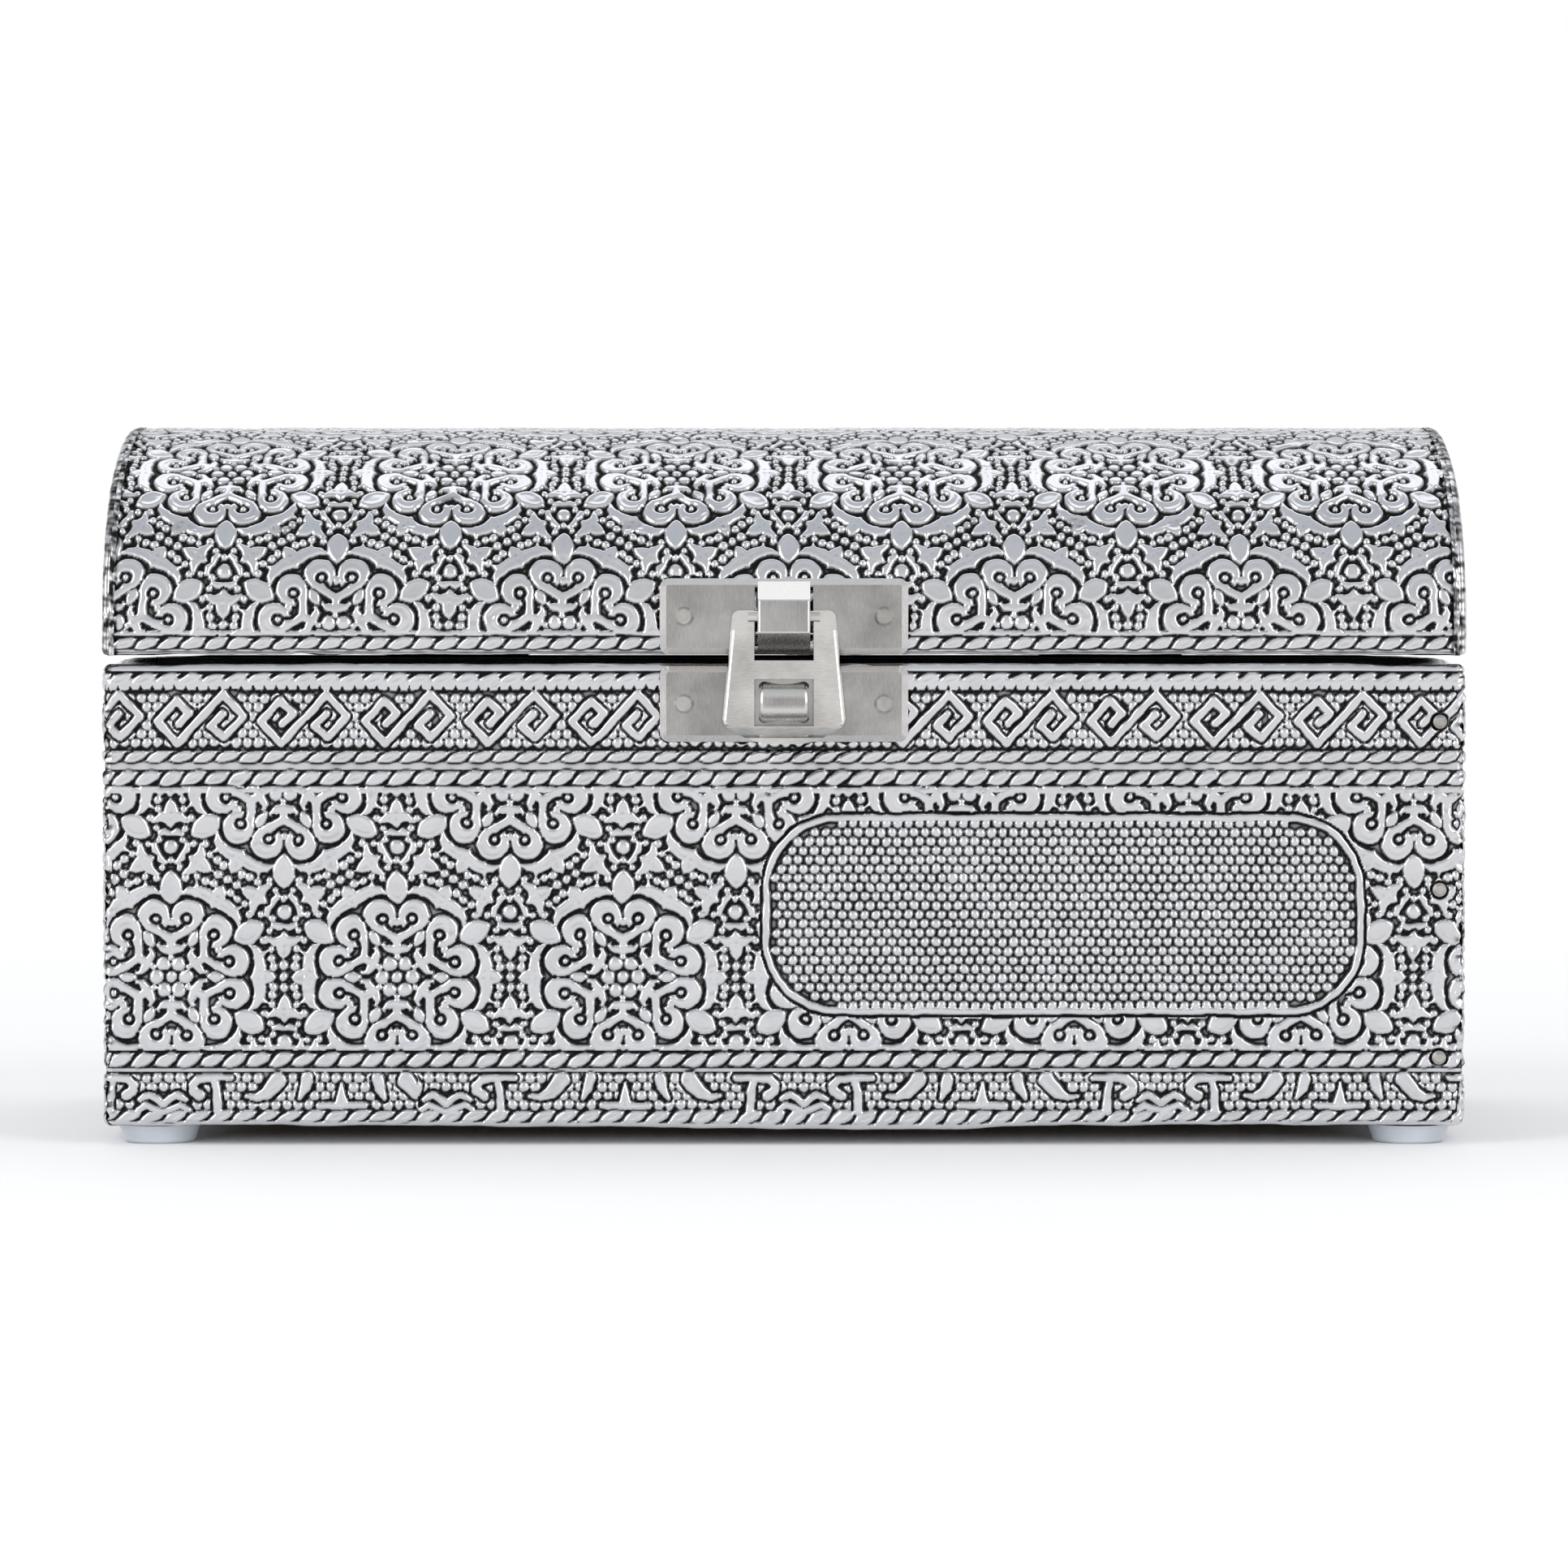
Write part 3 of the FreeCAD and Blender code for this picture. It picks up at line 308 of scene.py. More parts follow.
SCROLL_HALF = 23.3
SCROLL_STROKES = [
    [(0, -1.55, 0.9), (0.9, -0.8, 0.9), (1.7, -0.35, 0.9), (2.4, -0.6, 0.85), (3.0, -0.95, 0.6)],
    [(0, -2.5, 0.8), (1.2, -2.1, 0.85), (2.3, -1.7, 0.8), (3.3, -2.3, 0.7)],
    [(6.6, 1.6, 0.9), (6.95, 0.2, 1.0), (7.0, -1.2, 1.05), (7.05, -2.4, 1.1)],
    [(8.9, 1.85, 0.75), (6.4, 1.85, 0.95), (4.5, 1.7, 1.1), (3.75, 0.9, 1.15), (3.95, 0.1, 1.25),
     (4.8, -0.45, 1.3)],
    [(10.9, -0.5, 0.45), (12.2, -0.65, 0.95), (13.5, -0.05, 1.7), (14.4, 0.9, 2.0), (14.95, 1.6, 2.1)],
    [(18.75, 1.8, 1.5), (18.45, 0.6, 1.35), (17.75, -0.8, 0.5)],
    [(20.3, -1.75, 0.85), (SCROLL_HALF, -1.75, 0.95)],
    [(SCROLL_HALF, -1.4, 1.7), (SCROLL_HALF, -0.2, 1.0), (SCROLL_HALF, 1.2, 0.25)],
]


def scroll_depth(u, v):
    """Depth inside the hooks, leaves and bars, which are mirrored at each end of a repeat."""
    x = np.abs((u + SCROLL_HALF) % (2 * SCROLL_HALF) - SCROLL_HALF)
    return highest(*(stroke(x, v, points) for points in SCROLL_STROKES))


def scrolls(u, v):
    """Hooks, leaves and bars on a beaded ground, v from the middle of the band."""
    return beaded(u, v, scroll_depth, shift=0.67, low=-2.07, high=2.27)


# The label place: a raised frame round a beaded field

LABEL_X, LABEL_Z = 36.4, 30.15
LABEL_HALF = (39.3, 13.15)
LABEL_RADIUS = 10.0
LABEL_RIM = 1.05
LABEL_RIM_TOP = 0.85
LABEL_MARGIN = 0.15  # gap between the rim and the nearest bead's middle
LABEL_SURROUND = 0.3  # ground kept free outside the rim


def label_depth(u, v):
    """Depth inside the rounded outline of the label place."""
    x = np.abs(u - LABEL_X) - LABEL_HALF[0] + LABEL_RADIUS
    y = np.abs(v - LABEL_Z) - LABEL_HALF[1] + LABEL_RADIUS
    return LABEL_RADIUS - np.hypot(np.maximum(x, 0), np.maximum(y, 0)) - np.minimum(np.maximum(x, y), 0)


def label(u, v):
    def outside(cu, cv):
        return LABEL_RIM + LABEL_MARGIN - label_depth(cu + LABEL_X, cv + LABEL_Z)

    rim = ridge(label_depth(u, v), 0, LABEL_RIM, LABEL_RIM_TOP)
    beads = dotted(u - LABEL_X, v - LABEL_Z, outside, pitch=1.44, row=1.19, radius=0.635)
    return np.maximum(rim, beads)


# Unevenness of the pressed sheet. Waves are (longest, shortest).

WAVE_COUNT = 14
BLUR_REACH = 2.5  # in sigmas
CLOSE_BLUR, WIDE_BLUR = 0.21, 0.6
HOLLOW_DEPTH, HOLLOW_START = 0.20, 0.12
GROUND_DEPTH, GROUND_MOST = 0.9, 0.38
LOW_DARK, LOW_HEIGHT = 0.12, 0.2  # extra on the lowest ground
SHIFT_WAVES, SHIFT = (11, 1.7), 0.075
WEAK_WAVES, WEAK, WEAK_RUN = (26, 3), 0.30, (0.7, 1.9)
DENT_WAVES, DENT = (45, 5), 0.05
FINE_WAVES, FINE_DENT = (4.5, 1.4), 0.016
DENT_MEAN = 0.06
MOTTLE_WAVES = (6, 1.0)


def wander(u, v, longest, shortest, seed):
    """Smooth noise of about -1 to 1 from waves of many lengths and directions."""
    draw = np.random.default_rng(seed)
    total = np.zeros(np.broadcast(u, v).shape)
    for length in np.geomspace(longest, shortest, WAVE_COUNT):
        angle, phase = draw.uniform(0, 2 * math.pi, 2)
        total = total + np.sin((u * math.cos(angle) + v * math.sin(angle)) * 2 * math.pi / length + phase)
    return total / math.sqrt(WAVE_COUNT)


def soften(field, sigma):
    """Blurs a grid along its rows and columns."""
    reach = max(1, math.ceil(BLUR_REACH * sigma))
    weights = np.exp(-0.5 * (np.arange(-reach, reach + 1) / sigma) ** 2)
    weights /= weights.sum()
    for axis in (0, 1):
        edges = [(0, 0), (0, 0)]
        edges[axis] = (reach, reach)
        wide = np.pad(field, edges, mode="edge")
        count = field.shape[axis]
        pieces = [np.take(wide, range(k, k + count), axis) * w for k, w in enumerate(weights)]
        field = sum(pieces)
    return field


def darkening(height, step):
    """The dark finish that stays in the hollows beside the relief, from 0 to 1."""
    close = soften(height, CLOSE_BLUR / step)
    wide = soften(height, WIDE_BLUR / step)
    hollow = np.clip((close - height) / HOLLOW_DEPTH - HOLLOW_START, 0, 1)
    lowest = LOW_DARK * np.clip(1 - height / LOW_HEIGHT, 0, 1)
    ground = np.clip((wide - height) / GROUND_DEPTH, 0, GROUND_MOST) + lowest
    return np.clip(hollow + ground, 0, 1)


def pressed(u, v, seed):
    """Places where a pattern is read, shifted a little as by an uneven press, and how well it took."""
    du = wander(u, v, *SHIFT_WAVES, seed + 100) * SHIFT
    dv = wander(u, v, *SHIFT_WAVES, seed + 101) * SHIFT
    took = 1 - WEAK * smooth(*WEAK_RUN, wander(u, v, *WEAK_WAVES, seed + 102))
    return u + du, v + dv, took


def dented(u, v, seed, fine_seed):
    """Depth of slow and of fine dents, about zero on average."""
    slow = wander(u, v, *DENT_WAVES, seed) * DENT
    return slow + wander(u, v, *FINE_WAVES, fine_seed) * FINE_DENT


# Meshes from grids of points

MAP_SIDE, MAP_END = 0.004, 0.006  # margins of a grid on its map


def spaced(breaks, step):
    """Points at every break and evenly between them, at most a step apart."""
    runs = []
    for a, b in zip(breaks, breaks[1:]):
        runs.append(np.linspace(a, b, max(1, math.ceil((b - a) / step)) + 1)[:-1])
    return np.concatenate([*runs, [breaks[-1]]])


def grid_of(x, y, z):
    """Points from three arrays that spread to one grid."""
    return np.stack(np.broadcast_arrays(x, y, z), -1)


def placed(name, data):
    made = bpy.data.objects.new(name, data)
    bpy.context.scene.collection.objects.link(made)
    return made


def sheet_piece(name, grids, body, material, node):
    """One mesh from several grids. A grid is (points, outward, dark, kept faces or None)."""
    places, quads, darks, maps = [], [], [], []
    start = 0
    for index, (points, outward, dark, kept) in enumerate(grids):
        rows, columns = points.shape[:2]
        ids = np.arange(rows * columns).reshape(rows, columns)
        faces = np.stack([ids[:-1, :-1], ids[:-1, 1:], ids[1:, 1:], ids[1:, :-1]], -1)
        middle = rows // 2, columns // 2
        a, b, c, d = (points.reshape(-1, 3)[k] for k in faces[middle[0] - 1, middle[1] - 1])
        if np.dot(np.cross(c - a, d - b), outward) < 0:
            faces = faces[..., ::-1]
        faces = faces.reshape(-1, 4) if kept is None else faces[kept]
        across, up = np.meshgrid(np.linspace(MAP_SIDE, 1 - MAP_SIDE, columns),
                                 (index + np.linspace(MAP_END, 1 - MAP_END, rows)) / len(grids))
        used, local = np.unique(faces, return_inverse=True)
        places.append(points.reshape(-1, 3)[used])
        darks.append(np.broadcast_to(dark, (rows, columns)).reshape(-1)[used])
        maps.append(np.stack([across, up], -1).reshape(-1, 2)[used])
        quads.append(local.reshape(-1, 4) + start)
        start += len(used)
    places, quads, darks, maps = (np.concatenate(part) for part in (places, quads, darks, maps))
    mesh = bpy.data.meshes.new(name)
    mesh.vertices.add(len(places))
    mesh.vertices.foreach_set("co", (places * MM).astype(np.float32).ravel())
    mesh.loops.add(quads.size)
    mesh.loops.foreach_set("vertex_index", quads.astype(np.int32).ravel())
    mesh.polygons.add(len(quads))
    mesh.polygons.foreach_set("loop_start", np.arange(0, quads.size, 4, dtype=np.int32))
    mesh.update(calc_edges=True)
    mesh.shade_smooth()
    mesh.attributes.new("dark", "FLOAT", "POINT").data.foreach_set("value", darks.astype(np.float32))
    uv = mesh.uv_layers.new(name="OFBake")
    uv.data.foreach_set("uv", maps[quads.ravel()].astype(np.float32).ravel())
    mesh.materials.append(material)
    piece = placed(name, mesh)
    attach(piece, body)
    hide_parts(node)
    return piece


# Materials

def material(name):
    made = bpy.data.materials.new(name)
    made.use_nodes = True
    return made, made.node_tree, made.node_tree.nodes["Principled BSDF"]


def feed(tree, source, node, socket):
    tree.links.new(source, node.inputs[socket])


def set_inputs(node, values):
    for socket, value in values.items():
        node.inputs[socket].default_value = value


def noise(tree, scale, detail, stretch=None):
    place = tree.nodes.new("ShaderNodeTexCoord").outputs["Object"]
    texture = tree.nodes.new("ShaderNodeTexNoise")
    set_inputs(texture, {"Scale": scale, "Detail": detail})
    if stretch is not None:
        mapping = tree.nodes.new("ShaderNodeMapping")
        set_inputs(mapping, {"Scale": stretch})
        feed(tree, place, mapping, "Vector")
        place = mapping.outputs["Vector"]
    feed(tree, place, texture, "Vector")
    return texture.outputs["Fac"]


def ramp(tree, source, stops):
    made = tree.nodes.new("ShaderNodeValToRGB")
    elements = made.color_ramp.elements
    while len(elements) < len(stops):
        elements.new(0.5)
    for element, (place, colour) in zip(elements, stops):
        element.position = place
        element.color = (*colour, 1)
    feed(tree, source, made, "Fac")
    return made.outputs["Color"]


def spread(tree, source, low, high, start=0.0, end=1.0):
    """Maps start to low and end to high."""
    made = tree.nodes.new("ShaderNodeMapRange")
    set_inputs(made, {"From Min": start, "From Max": end, "To Min": low, "To Max": high})
    feed(tree, source, made, "Value")
    return made.outputs["Result"]


def maths(tree, operation, first, second):
    made = tree.nodes.new("ShaderNodeMath")
    made.operation = operation
    for socket, value in zip(made.inputs, (first, second)):
        if isinstance(value, (int, float)):
            socket.default_value = value
        else:
            tree.links.new(value, socket)
    return made.outputs["Value"]


def bump(tree, shader, source, strength, distance):
    made = tree.nodes.new("ShaderNodeBump")
    set_inputs(made, {"Strength": strength, "Distance": distance})
    feed(tree, source, made, "Height")
    feed(tree, made.outputs["Normal"], shader, "Normal")


def grey(level, warm=0.0):
    return (level * (1 + warm), level, level * (1 - warm))


def silver():
    made, tree, shader = material("embossed_silver")
    set_inputs(shader, {"Metallic": 1.0})
    attribute = tree.nodes.new("ShaderNodeAttribute")
    attribute.attribute_name = "dark"
    clouds = noise(tree, scale=220, detail=6)
    tarnish = spread(tree, clouds, low=-0.05, high=0.13, start=0.35, end=0.75)
    level = maths(tree, "ADD", attribute.outputs["Fac"], tarnish)
    colour = ramp(tree, level, [
        (0.0, (0.66, 0.66, 0.682)), (0.18, (0.57, 0.57, 0.588)), (0.5, grey(0.21)), (0.85, grey(0.014))])
    feed(tree, colour, shader, "Base Color")
    smear = spread(tree, noise(tree, scale=900, detail=3), low=-0.04, high=0.06)
    worn = spread(tree, level, low=0.13, high=0.5)
    feed(tree, maths(tree, "ADD", worn, smear), shader, "Roughness")
    bump(tree, shader, noise(tree, scale=1500, detail=3), strength=0.10, distance=0.00006)
    return made


BRUSH_SHARE = 0.35  # part of the brushing in the stains
STAINED, CLEAN = 0.70, 1.10  # brightness of stained and clean plate
SMOOTHER, ROUGHER = 0.07, 0.1


def nickel(name, level, warm, roughness, grain, painted_highlight=None, dents=0.12):
    """Brushed plate. painted_highlight is (axis, start, end, level): a painted highlight, a lighter colour
    on faces turned towards that axis.
    """
    made, tree, shader = material(name)
    set_inputs(shader, {"Metallic": 1.0})
    brushed = noise(tree, scale=900, detail=5, stretch=grain)
    stained = noise(tree, scale=140, detail=4)
    both = maths(tree, "ADD", maths(tree, "MULTIPLY", brushed, BRUSH_SHARE), stained)
    worn = spread(tree, both, low=0.0, high=1.0, start=0.5, end=0.85)
    colour = ramp(tree, worn, [(0.0, grey(level * STAINED, warm)), (1.0, grey(level * CLEAN, warm))])
    # painted highlight: faces turned towards the axis get a lighter colour
    if painted_highlight:
        axis, start, end, bright = painted_highlight
        place = tree.nodes.new("ShaderNodeTexCoord")
        split = tree.nodes.new("ShaderNodeSeparateXYZ")
        feed(tree, place.outputs["Normal"], split, "Vector")
        side = maths(tree, "ABSOLUTE", split.outputs[axis], 0.0)
        mix = tree.nodes.new("ShaderNodeMix")
        mix.data_type = "RGBA"
        feed(tree, spread(tree, side, 0.0, 1.0, start, end), mix, "Factor")
        feed(tree, colour, mix, 6)
        mix.inputs[7].default_value = (*grey(bright, warm), 1)
        colour = mix.outputs[2]
    feed(tree, colour, shader, "Base Color")
    rough = spread(tree, brushed, roughness - SMOOTHER, roughness + ROUGHER, start=0.3, end=0.7)
    feed(tree, rough, shader, "Roughness")
    bump(tree, shader, brushed, strength=dents, distance=0.00004)
    return made


def clouded(name, tone, stops, wear, rough, grain, strength, distance):
    """Uneven colour and roughness and a fine grain. tone, wear and grain are noises of (scale, detail)."""
    made, tree, shader = material(name)
    feed(tree, ramp(tree, noise(tree, *tone), stops), shader, "Base Color")
    feed(tree, spread(tree, noise(tree, *wear), *rough), shader, "Roughness")
    bump(tree, shader, noise(tree, *grain), strength, distance)
    return made, shader


def rubber():
    made, shader = clouded(
        "pale_rubber", (260, 4), [(0.3, (0.52, 0.55, 0.60)), (0.7, (0.58, 0.61, 0.66))],
        wear=(700, 3), rough=(0.32, 0.46), grain=(1600, 2), strength=0.05, distance=0.00005)
    set_inputs(shader, {"Subsurface Weight": 0.25, "Subsurface Radius": (0.002, 0.002, 0.002)})
    return made


def fibreboard():
    return clouded(
        "fibreboard", (1400, 8), [(0.3, (0.16, 0.10, 0.055)), (0.7, (0.30, 0.20, 0.12))],
        wear=(500, 3), rough=(0.7, 0.95), grain=(2600, 4), strength=0.3, distance=0.0001)[0]


def velvet():
    pile = (3500, 3)
    made, shader = clouded(
        "black_velvet", (55, 4), [(0.35, (0.006, 0.006, 0.008)), (0.7, (0.020, 0.020, 0.024))],
        wear=pile, rough=(0.8, 1.0), grain=pile, strength=0.5, distance=0.0002)
    set_inputs(shader, {"Sheen Weight": 0.35, "Sheen Roughness": 0.35, "Specular IOR Level": 0.1})
    return made


SILVER = silver()
# The plate's bevels and the hasp's sides carry a painted highlight by the way they face.
PLATE = nickel("satin_nickel", 0.39, 0.025, 0.22, (6, 6, 1), painted_highlight=("Y", 0.995, 0.94, 0.62))
HASP = nickel("polished_nickel", 0.56, 0.030, 0.17, (1, 1, 6), painted_highlight=("X", 0.15, 0.5, 0.78))
STEEL = nickel("hinge_steel", 0.42, 0.020, 0.24, (0.6, 5, 5))
NAIL = nickel("nail_steel", 0.46, 0.045, 0.34, (2, 2, 2), dents=0.8)
RUBBER = rubber()
BOARD = fibreboard()
VELVET = velvet()

for node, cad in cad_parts.items():
    if node == "latch_hasp":
        chosen = HASP
    elif node.startswith("latch") and node.endswith("plate"):
        chosen = PLATE
    elif node.endswith(("nails", "screws")):
        chosen = NAIL
    elif node.startswith("hinge"):
        chosen = STEEL
    elif node.startswith("foot"):
        chosen = RUBBER
    else:
        chosen = BOARD
    for place in cad.material_slots:
        place.material = chosen


# The clad box: four embossed walls, each with half of its corners, its rim hem and its bottom hem

def clad(name, grids, body, node):
    sheet_piece(name, grids, body, SILVER, node)


PLAIN = 0.85  # height of folded sheet without a pattern
SEAM_NAILS = [(85.4, 11.5), (85.4, 33.4), (85.4, 55.3)]  # right of the middle, height
NAIL_FLAT = (1.0, 1.35)  # the sheet is pressed flat round a nail
# painted shadow in a ring round each nail head: how dark, and the distances over which it fades
NAIL_PAINTED_SHADOW, NAIL_PAINTED_SHADOW_RUN = 0.8, (1.3, 1.1)

# Levels of what the bands on the box hold, from the bottom up
BOTTOM_LINE = (2.2, 3.1)
BOTTOM_ROPE = {"middle": 3.75, "height": 1.9}
SCROLL_LEVEL = 6.95
LOW_ROPE = {"shift": 1.1, "middle": 11.2}
PANEL_FOOT, PANEL_HEAD = (12.45, 13.2), (45.9, 46.85)
FLOWER_LEVEL = 22.0
HIGH_ROPE = {"shift": 0.4, "middle": 47.95}
KEY_ROPE = {"shift": 1.9, "middle": 50.75, "height": 1.7}
KEY_ROPE_GROUND = 0.15
KEY_LEVEL = 55.65
HEM_LINE = (59.35, 61.0)
HEM_NICK, HEM_NICK_WIDTH = 0.55, 0.17  # nicks between the beads under the hem
HEM_ROPE = {"shift": 0.9, "middle": 60.85, "height": 1.8}
STRIP = 0.22


def bands(u, v, rows, seed):
    """Heights over a grid from (low, high, relief) bands across v."""
    across, up, took = pressed(u, v[:, None], seed)
    height = np.full(across.shape, PLAIN)
    for low, high, relief in rows:
        inside = (v >= low) & (v < high)
        if inside.any():
            height[inside] = relief(across[inside], up[inside])
    return height * took


def box_bands(key_shift, flower_shift, scroll_shift, with_label):
    """The bands of a wall, each with its limits and its relief."""
    def panel(u, v):
        lines = np.maximum(ridge(v, *PANEL_FOOT), ridge(v, *PANEL_HEAD))
        height = np.maximum(flowers(u - flower_shift, v - FLOWER_LEVEL), lines)
        if not with_label:
            return height
        return np.where(label_depth(u, v) > -LABEL_SURROUND, label(u, v), height)

    def lower(u, v):
        return highest(rope(u, v, **BOTTOM_ROPE), ridge(v, *BOTTOM_LINE),
                       scrolls(u - scroll_shift(u), v - SCROLL_LEVEL))

    def upper(u, v):
        between = ((u - key_shift) / DOT_PITCH - 0.5) % 1 - 0.5
        nick = HEM_NICK * np.exp(-(between * DOT_PITCH / HEM_NICK_WIDTH) ** 2)
        hem = np.maximum(rope(u, v, **HEM_ROPE), ridge(v, HEM_LINE[0] + nick, HEM_LINE[1]))
        return np.maximum(hem, meander(u - key_shift, v - KEY_LEVEL))

    def strip(u, v):
        return np.full(np.broadcast(u, v).shape, STRIP)

    return [
        (2.9, 9.65, lower),
        (9.65, 10.0, strip),
        (10.0, 12.35, lambda u, v: rope(u, v, **LOW_ROPE)),
        (12.35, 46.9, panel),
        (46.9, 49.05, lambda u, v: rope(u, v, **HIGH_ROPE)),
        (49.05, 49.95, strip),
        (49.95, 51.5, lambda u, v: np.maximum(rope(u, v, **KEY_ROPE), KEY_ROPE_GROUND)),
        (51.5, 61.8, upper),
    ]


FOLD_ROWS = 9
UNDER_HEM = np.array([13.2, 9, 6, 3.5, 2])  # insets of the rows of the hem under the bottom
RIM_HEM = np.array([2, 2.6, 3.3, 4.6, 6.2, RIM - 0.15, RIM, RIM])  # and of the hem over the rim
RIM_DROP = np.array([0, 0, 0, 0, 0, 0, 0.12, 0.7])  # its last rows turn down inside
RIM_SWELL = np.concatenate([np.linspace(0, 0.6, FOLD_ROWS), [0.85, 1, 1, 1, 1, 0.9, 0, 0]])
SWELL_END = (9, 2)  # where a raised hem comes down again, from the inner corner
FOLDED = 0.9  # tilt past which a row has no pattern
CORNER_LEAD, CORNER_RUN = 0.5, 1.2  # where the wear at a corner starts, and its width
CORNER_STAIN, CORNER_STAIN_MOST = 0.35, 0.8
CRUMPLE_WAVES, CRUMPLE = (5, 1.2), 0.12
CORNER_DEEPEST = 0.45
SAG_MIDDLE, SAG_REACH, SAG = 3, 26, 0.55  # the bottom edge hangs a little in the middle
SAG_WAVES, SAG_WAVE = (60, 9), 0.12
SAG_RANGE = (-0.15, 0.7)
SAG_HEIGHT = 2.2


def wall_rows(face):
    """Inset, height and tilt of a wall's rows, from the hem under the bottom to the hem over the rim."""
    fold = np.linspace(0, math.pi / 2, FOLD_ROWS)
    start, finish = FOLD * (1 - np.cos(fold)), FOLD * (1 - np.sin(fold))
    flat = np.zeros(len(face) - 2)
    inset = np.concatenate([UNDER_HEM, finish, flat, start, RIM_HEM])
    z = np.concatenate([np.full(len(UNDER_HEM), BASE_BOTTOM), BASE_BOTTOM + start, face[1:-1],
                        BASE_TOP - finish, BASE_TOP - RIM_DROP])
    tilt = np.concatenate([np.full(len(UNDER_HEM), -math.pi / 2), fold - math.pi / 2, flat, fold,
                           np.full(len(RIM_HEM), math.pi / 2)])
    return inset, z, tilt


def wall(name, facing, half, reach, step, shifts, with_label=False, notches=(), hem_rise=0.0):
    """facing is the outward direction, half the wall's half length, reach its distance from the middle.

    shifts move the spirals, flowers and scrolls along, and hem_rise lifts the middle of the rim hem.
    """
    outward = np.array([*facing, 0.0])
    along = np.array([-facing[1], facing[0], 0.0])
    straight = half - CORNER
    quarter = CORNER * math.pi / 4
    u = spaced([-straight - quarter, -straight, *notches, straight, straight + quarter], step)
    turn = np.sign(u) * np.clip(np.abs(u) - straight, 0, None) / CORNER
    face = spaced([BASE_BOTTOM + FOLD, *([NOTCH_FLOOR] if notches else []), BASE_TOP - FOLD], step)
    inset, z, tilt = wall_rows(face)
    seed = int(reach)
    height = bands(u, z, box_bands(*shifts, with_label), seed)
    height[np.abs(tilt) > FOLDED] = PLAIN
    grid = u, z[:, None]
    if with_label:
        away = np.minimum.reduce([np.hypot(u - x, z[:, None] - level) for x, level in SEAM_NAILS])
        height = height * smooth(*NAIL_FLAT, away)
    dark = darkening(height, step)
    if with_label:
        # painted shadow round the nail heads
        dark = np.maximum(dark, NAIL_PAINTED_SHADOW * smooth(*NAIL_PAINTED_SHADOW_RUN, away))
    mottle = wander(*grid, *MOTTLE_WAVES, seed + 1)
    near_corner = np.clip((np.abs(u) - straight + CORNER_LEAD) / CORNER_RUN, 0, 1)
    dark = np.clip(dark + near_corner * np.clip(mottle - CORNER_STAIN, 0, CORNER_STAIN_MOST), 0, 1)
    crumple = near_corner * wander(*grid, *CRUMPLE_WAVES, seed + 2) * CRUMPLE
    dents = dented(*grid, seed, seed + 4)
    drop = RELIEF * (1 - height) + np.clip(dents + crumple + DENT_MEAN, 0, None)
    drop = np.minimum(drop, np.where(near_corner > 0, CORNER_DEEPEST, DEEPEST))
    left = np.clip(CORNER - inset, 0, None)[:, None]
    over = np.clip(inset - CORNER, 0, None)[:, None]
    p = np.clip(u, -straight, straight) + left * np.sin(turn)
    p = np.where(over > 0, np.clip(p, over - straight, straight - over), p)
    q = reach - CORNER + left * np.cos(turn) - over
    lean = np.cos(tilt)[:, None]
    p = p - drop * lean * np.sin(turn)
    q = q - drop * lean * np.cos(turn)
    sag = np.exp(-((u - SAG_MIDDLE) / SAG_REACH) ** 2) * SAG
    sag = sag + SAG_WAVE * wander(u, 0, *SAG_WAVES, seed + 3)
    low = np.clip(1 - (z - BASE_BOTTOM) / SAG_HEIGHT, 0, 1)[:, None]
    level = z[:, None] - drop * np.sin(tilt)[:, None] - low * np.clip(sag, *SAG_RANGE)
    swell = np.zeros(len(z))
    swell[-len(RIM_SWELL):] = hem_rise * RIM_SWELL
    inner = half - RIM
    ends = 1 - smooth(inner - SWELL_END[0], inner - SWELL_END[1], np.abs(u))
    level = level + swell[:, None] * ends
    middle = np.array([0.0, MIDDLE, 0.0])
    points = middle + p[..., None] * along + q[..., None] * outward + level[..., None] * UP
    kept = None
    if notches:
        mid_u, mid_z = (u[1:] + u[:-1]) / 2, (z[1:] + z[:-1]) / 2
        within = np.abs(np.abs(mid_u) - HINGE_MIDDLE) < NOTCH_HALF
        past = (mid_z > NOTCH_FLOOR) & (np.arange(len(mid_z)) > len(mid_z) // 2)
        kept = ~(past[:, None] & within)
    clad(name, [(points, outward, dark, kept)], "base", "base_cladding")


ROLL_JOIN = -47.7
SIDE_RISE, FRONT_RISE = 0.75, 0.45  # how far the hems stand up along their middle


def scroll_phase(u):
    """On the front the roll was set down afresh left of the middle."""
    return np.where(u < ROLL_JOIN, -81.0, 2.6)


edges = [-HINGE_MIDDLE - NOTCH_HALF, -HINGE_MIDDLE + NOTCH_HALF,
         HINGE_MIDDLE - NOTCH_HALF, HINGE_MIDDLE + NOTCH_HALF]
wall("box_front", (0, -1), HALF_WIDTH, HALF_DEPTH, FRONT_STEP, (-35.55, -21.0, scroll_phase),
     with_label=True, hem_rise=FRONT_RISE)
wall("box_back", (0, 1), HALF_WIDTH, HALF_DEPTH, BACK_STEP, (-2.0, -10.5, lambda u: 8.0), notches=edges)
wall("box_left", (-1, 0), HALF_DEPTH, HALF_WIDTH, SIDE_STEP, (1.0, 6.0, lambda u: -4.0), hem_rise=SIDE_RISE)
wall("box_right", (1, 0), HALF_DEPTH, HALF_WIDTH, SIDE_STEP, (4.0, -6.0, lambda u: 12.0), hem_rise=SIDE_RISE)

TAB_BEND = 0.3  # slant at the foot of a tab's sides
TAB_GAP = 0.2  # between a tab and the rim
TAB_START = SHEET * 0.4
TAB_COLUMNS = 6
# dark of the tabs: partly their tarnish, partly painted shade inside the notch
TAB_DARK_AND_PAINTED_SHADE = 0.9


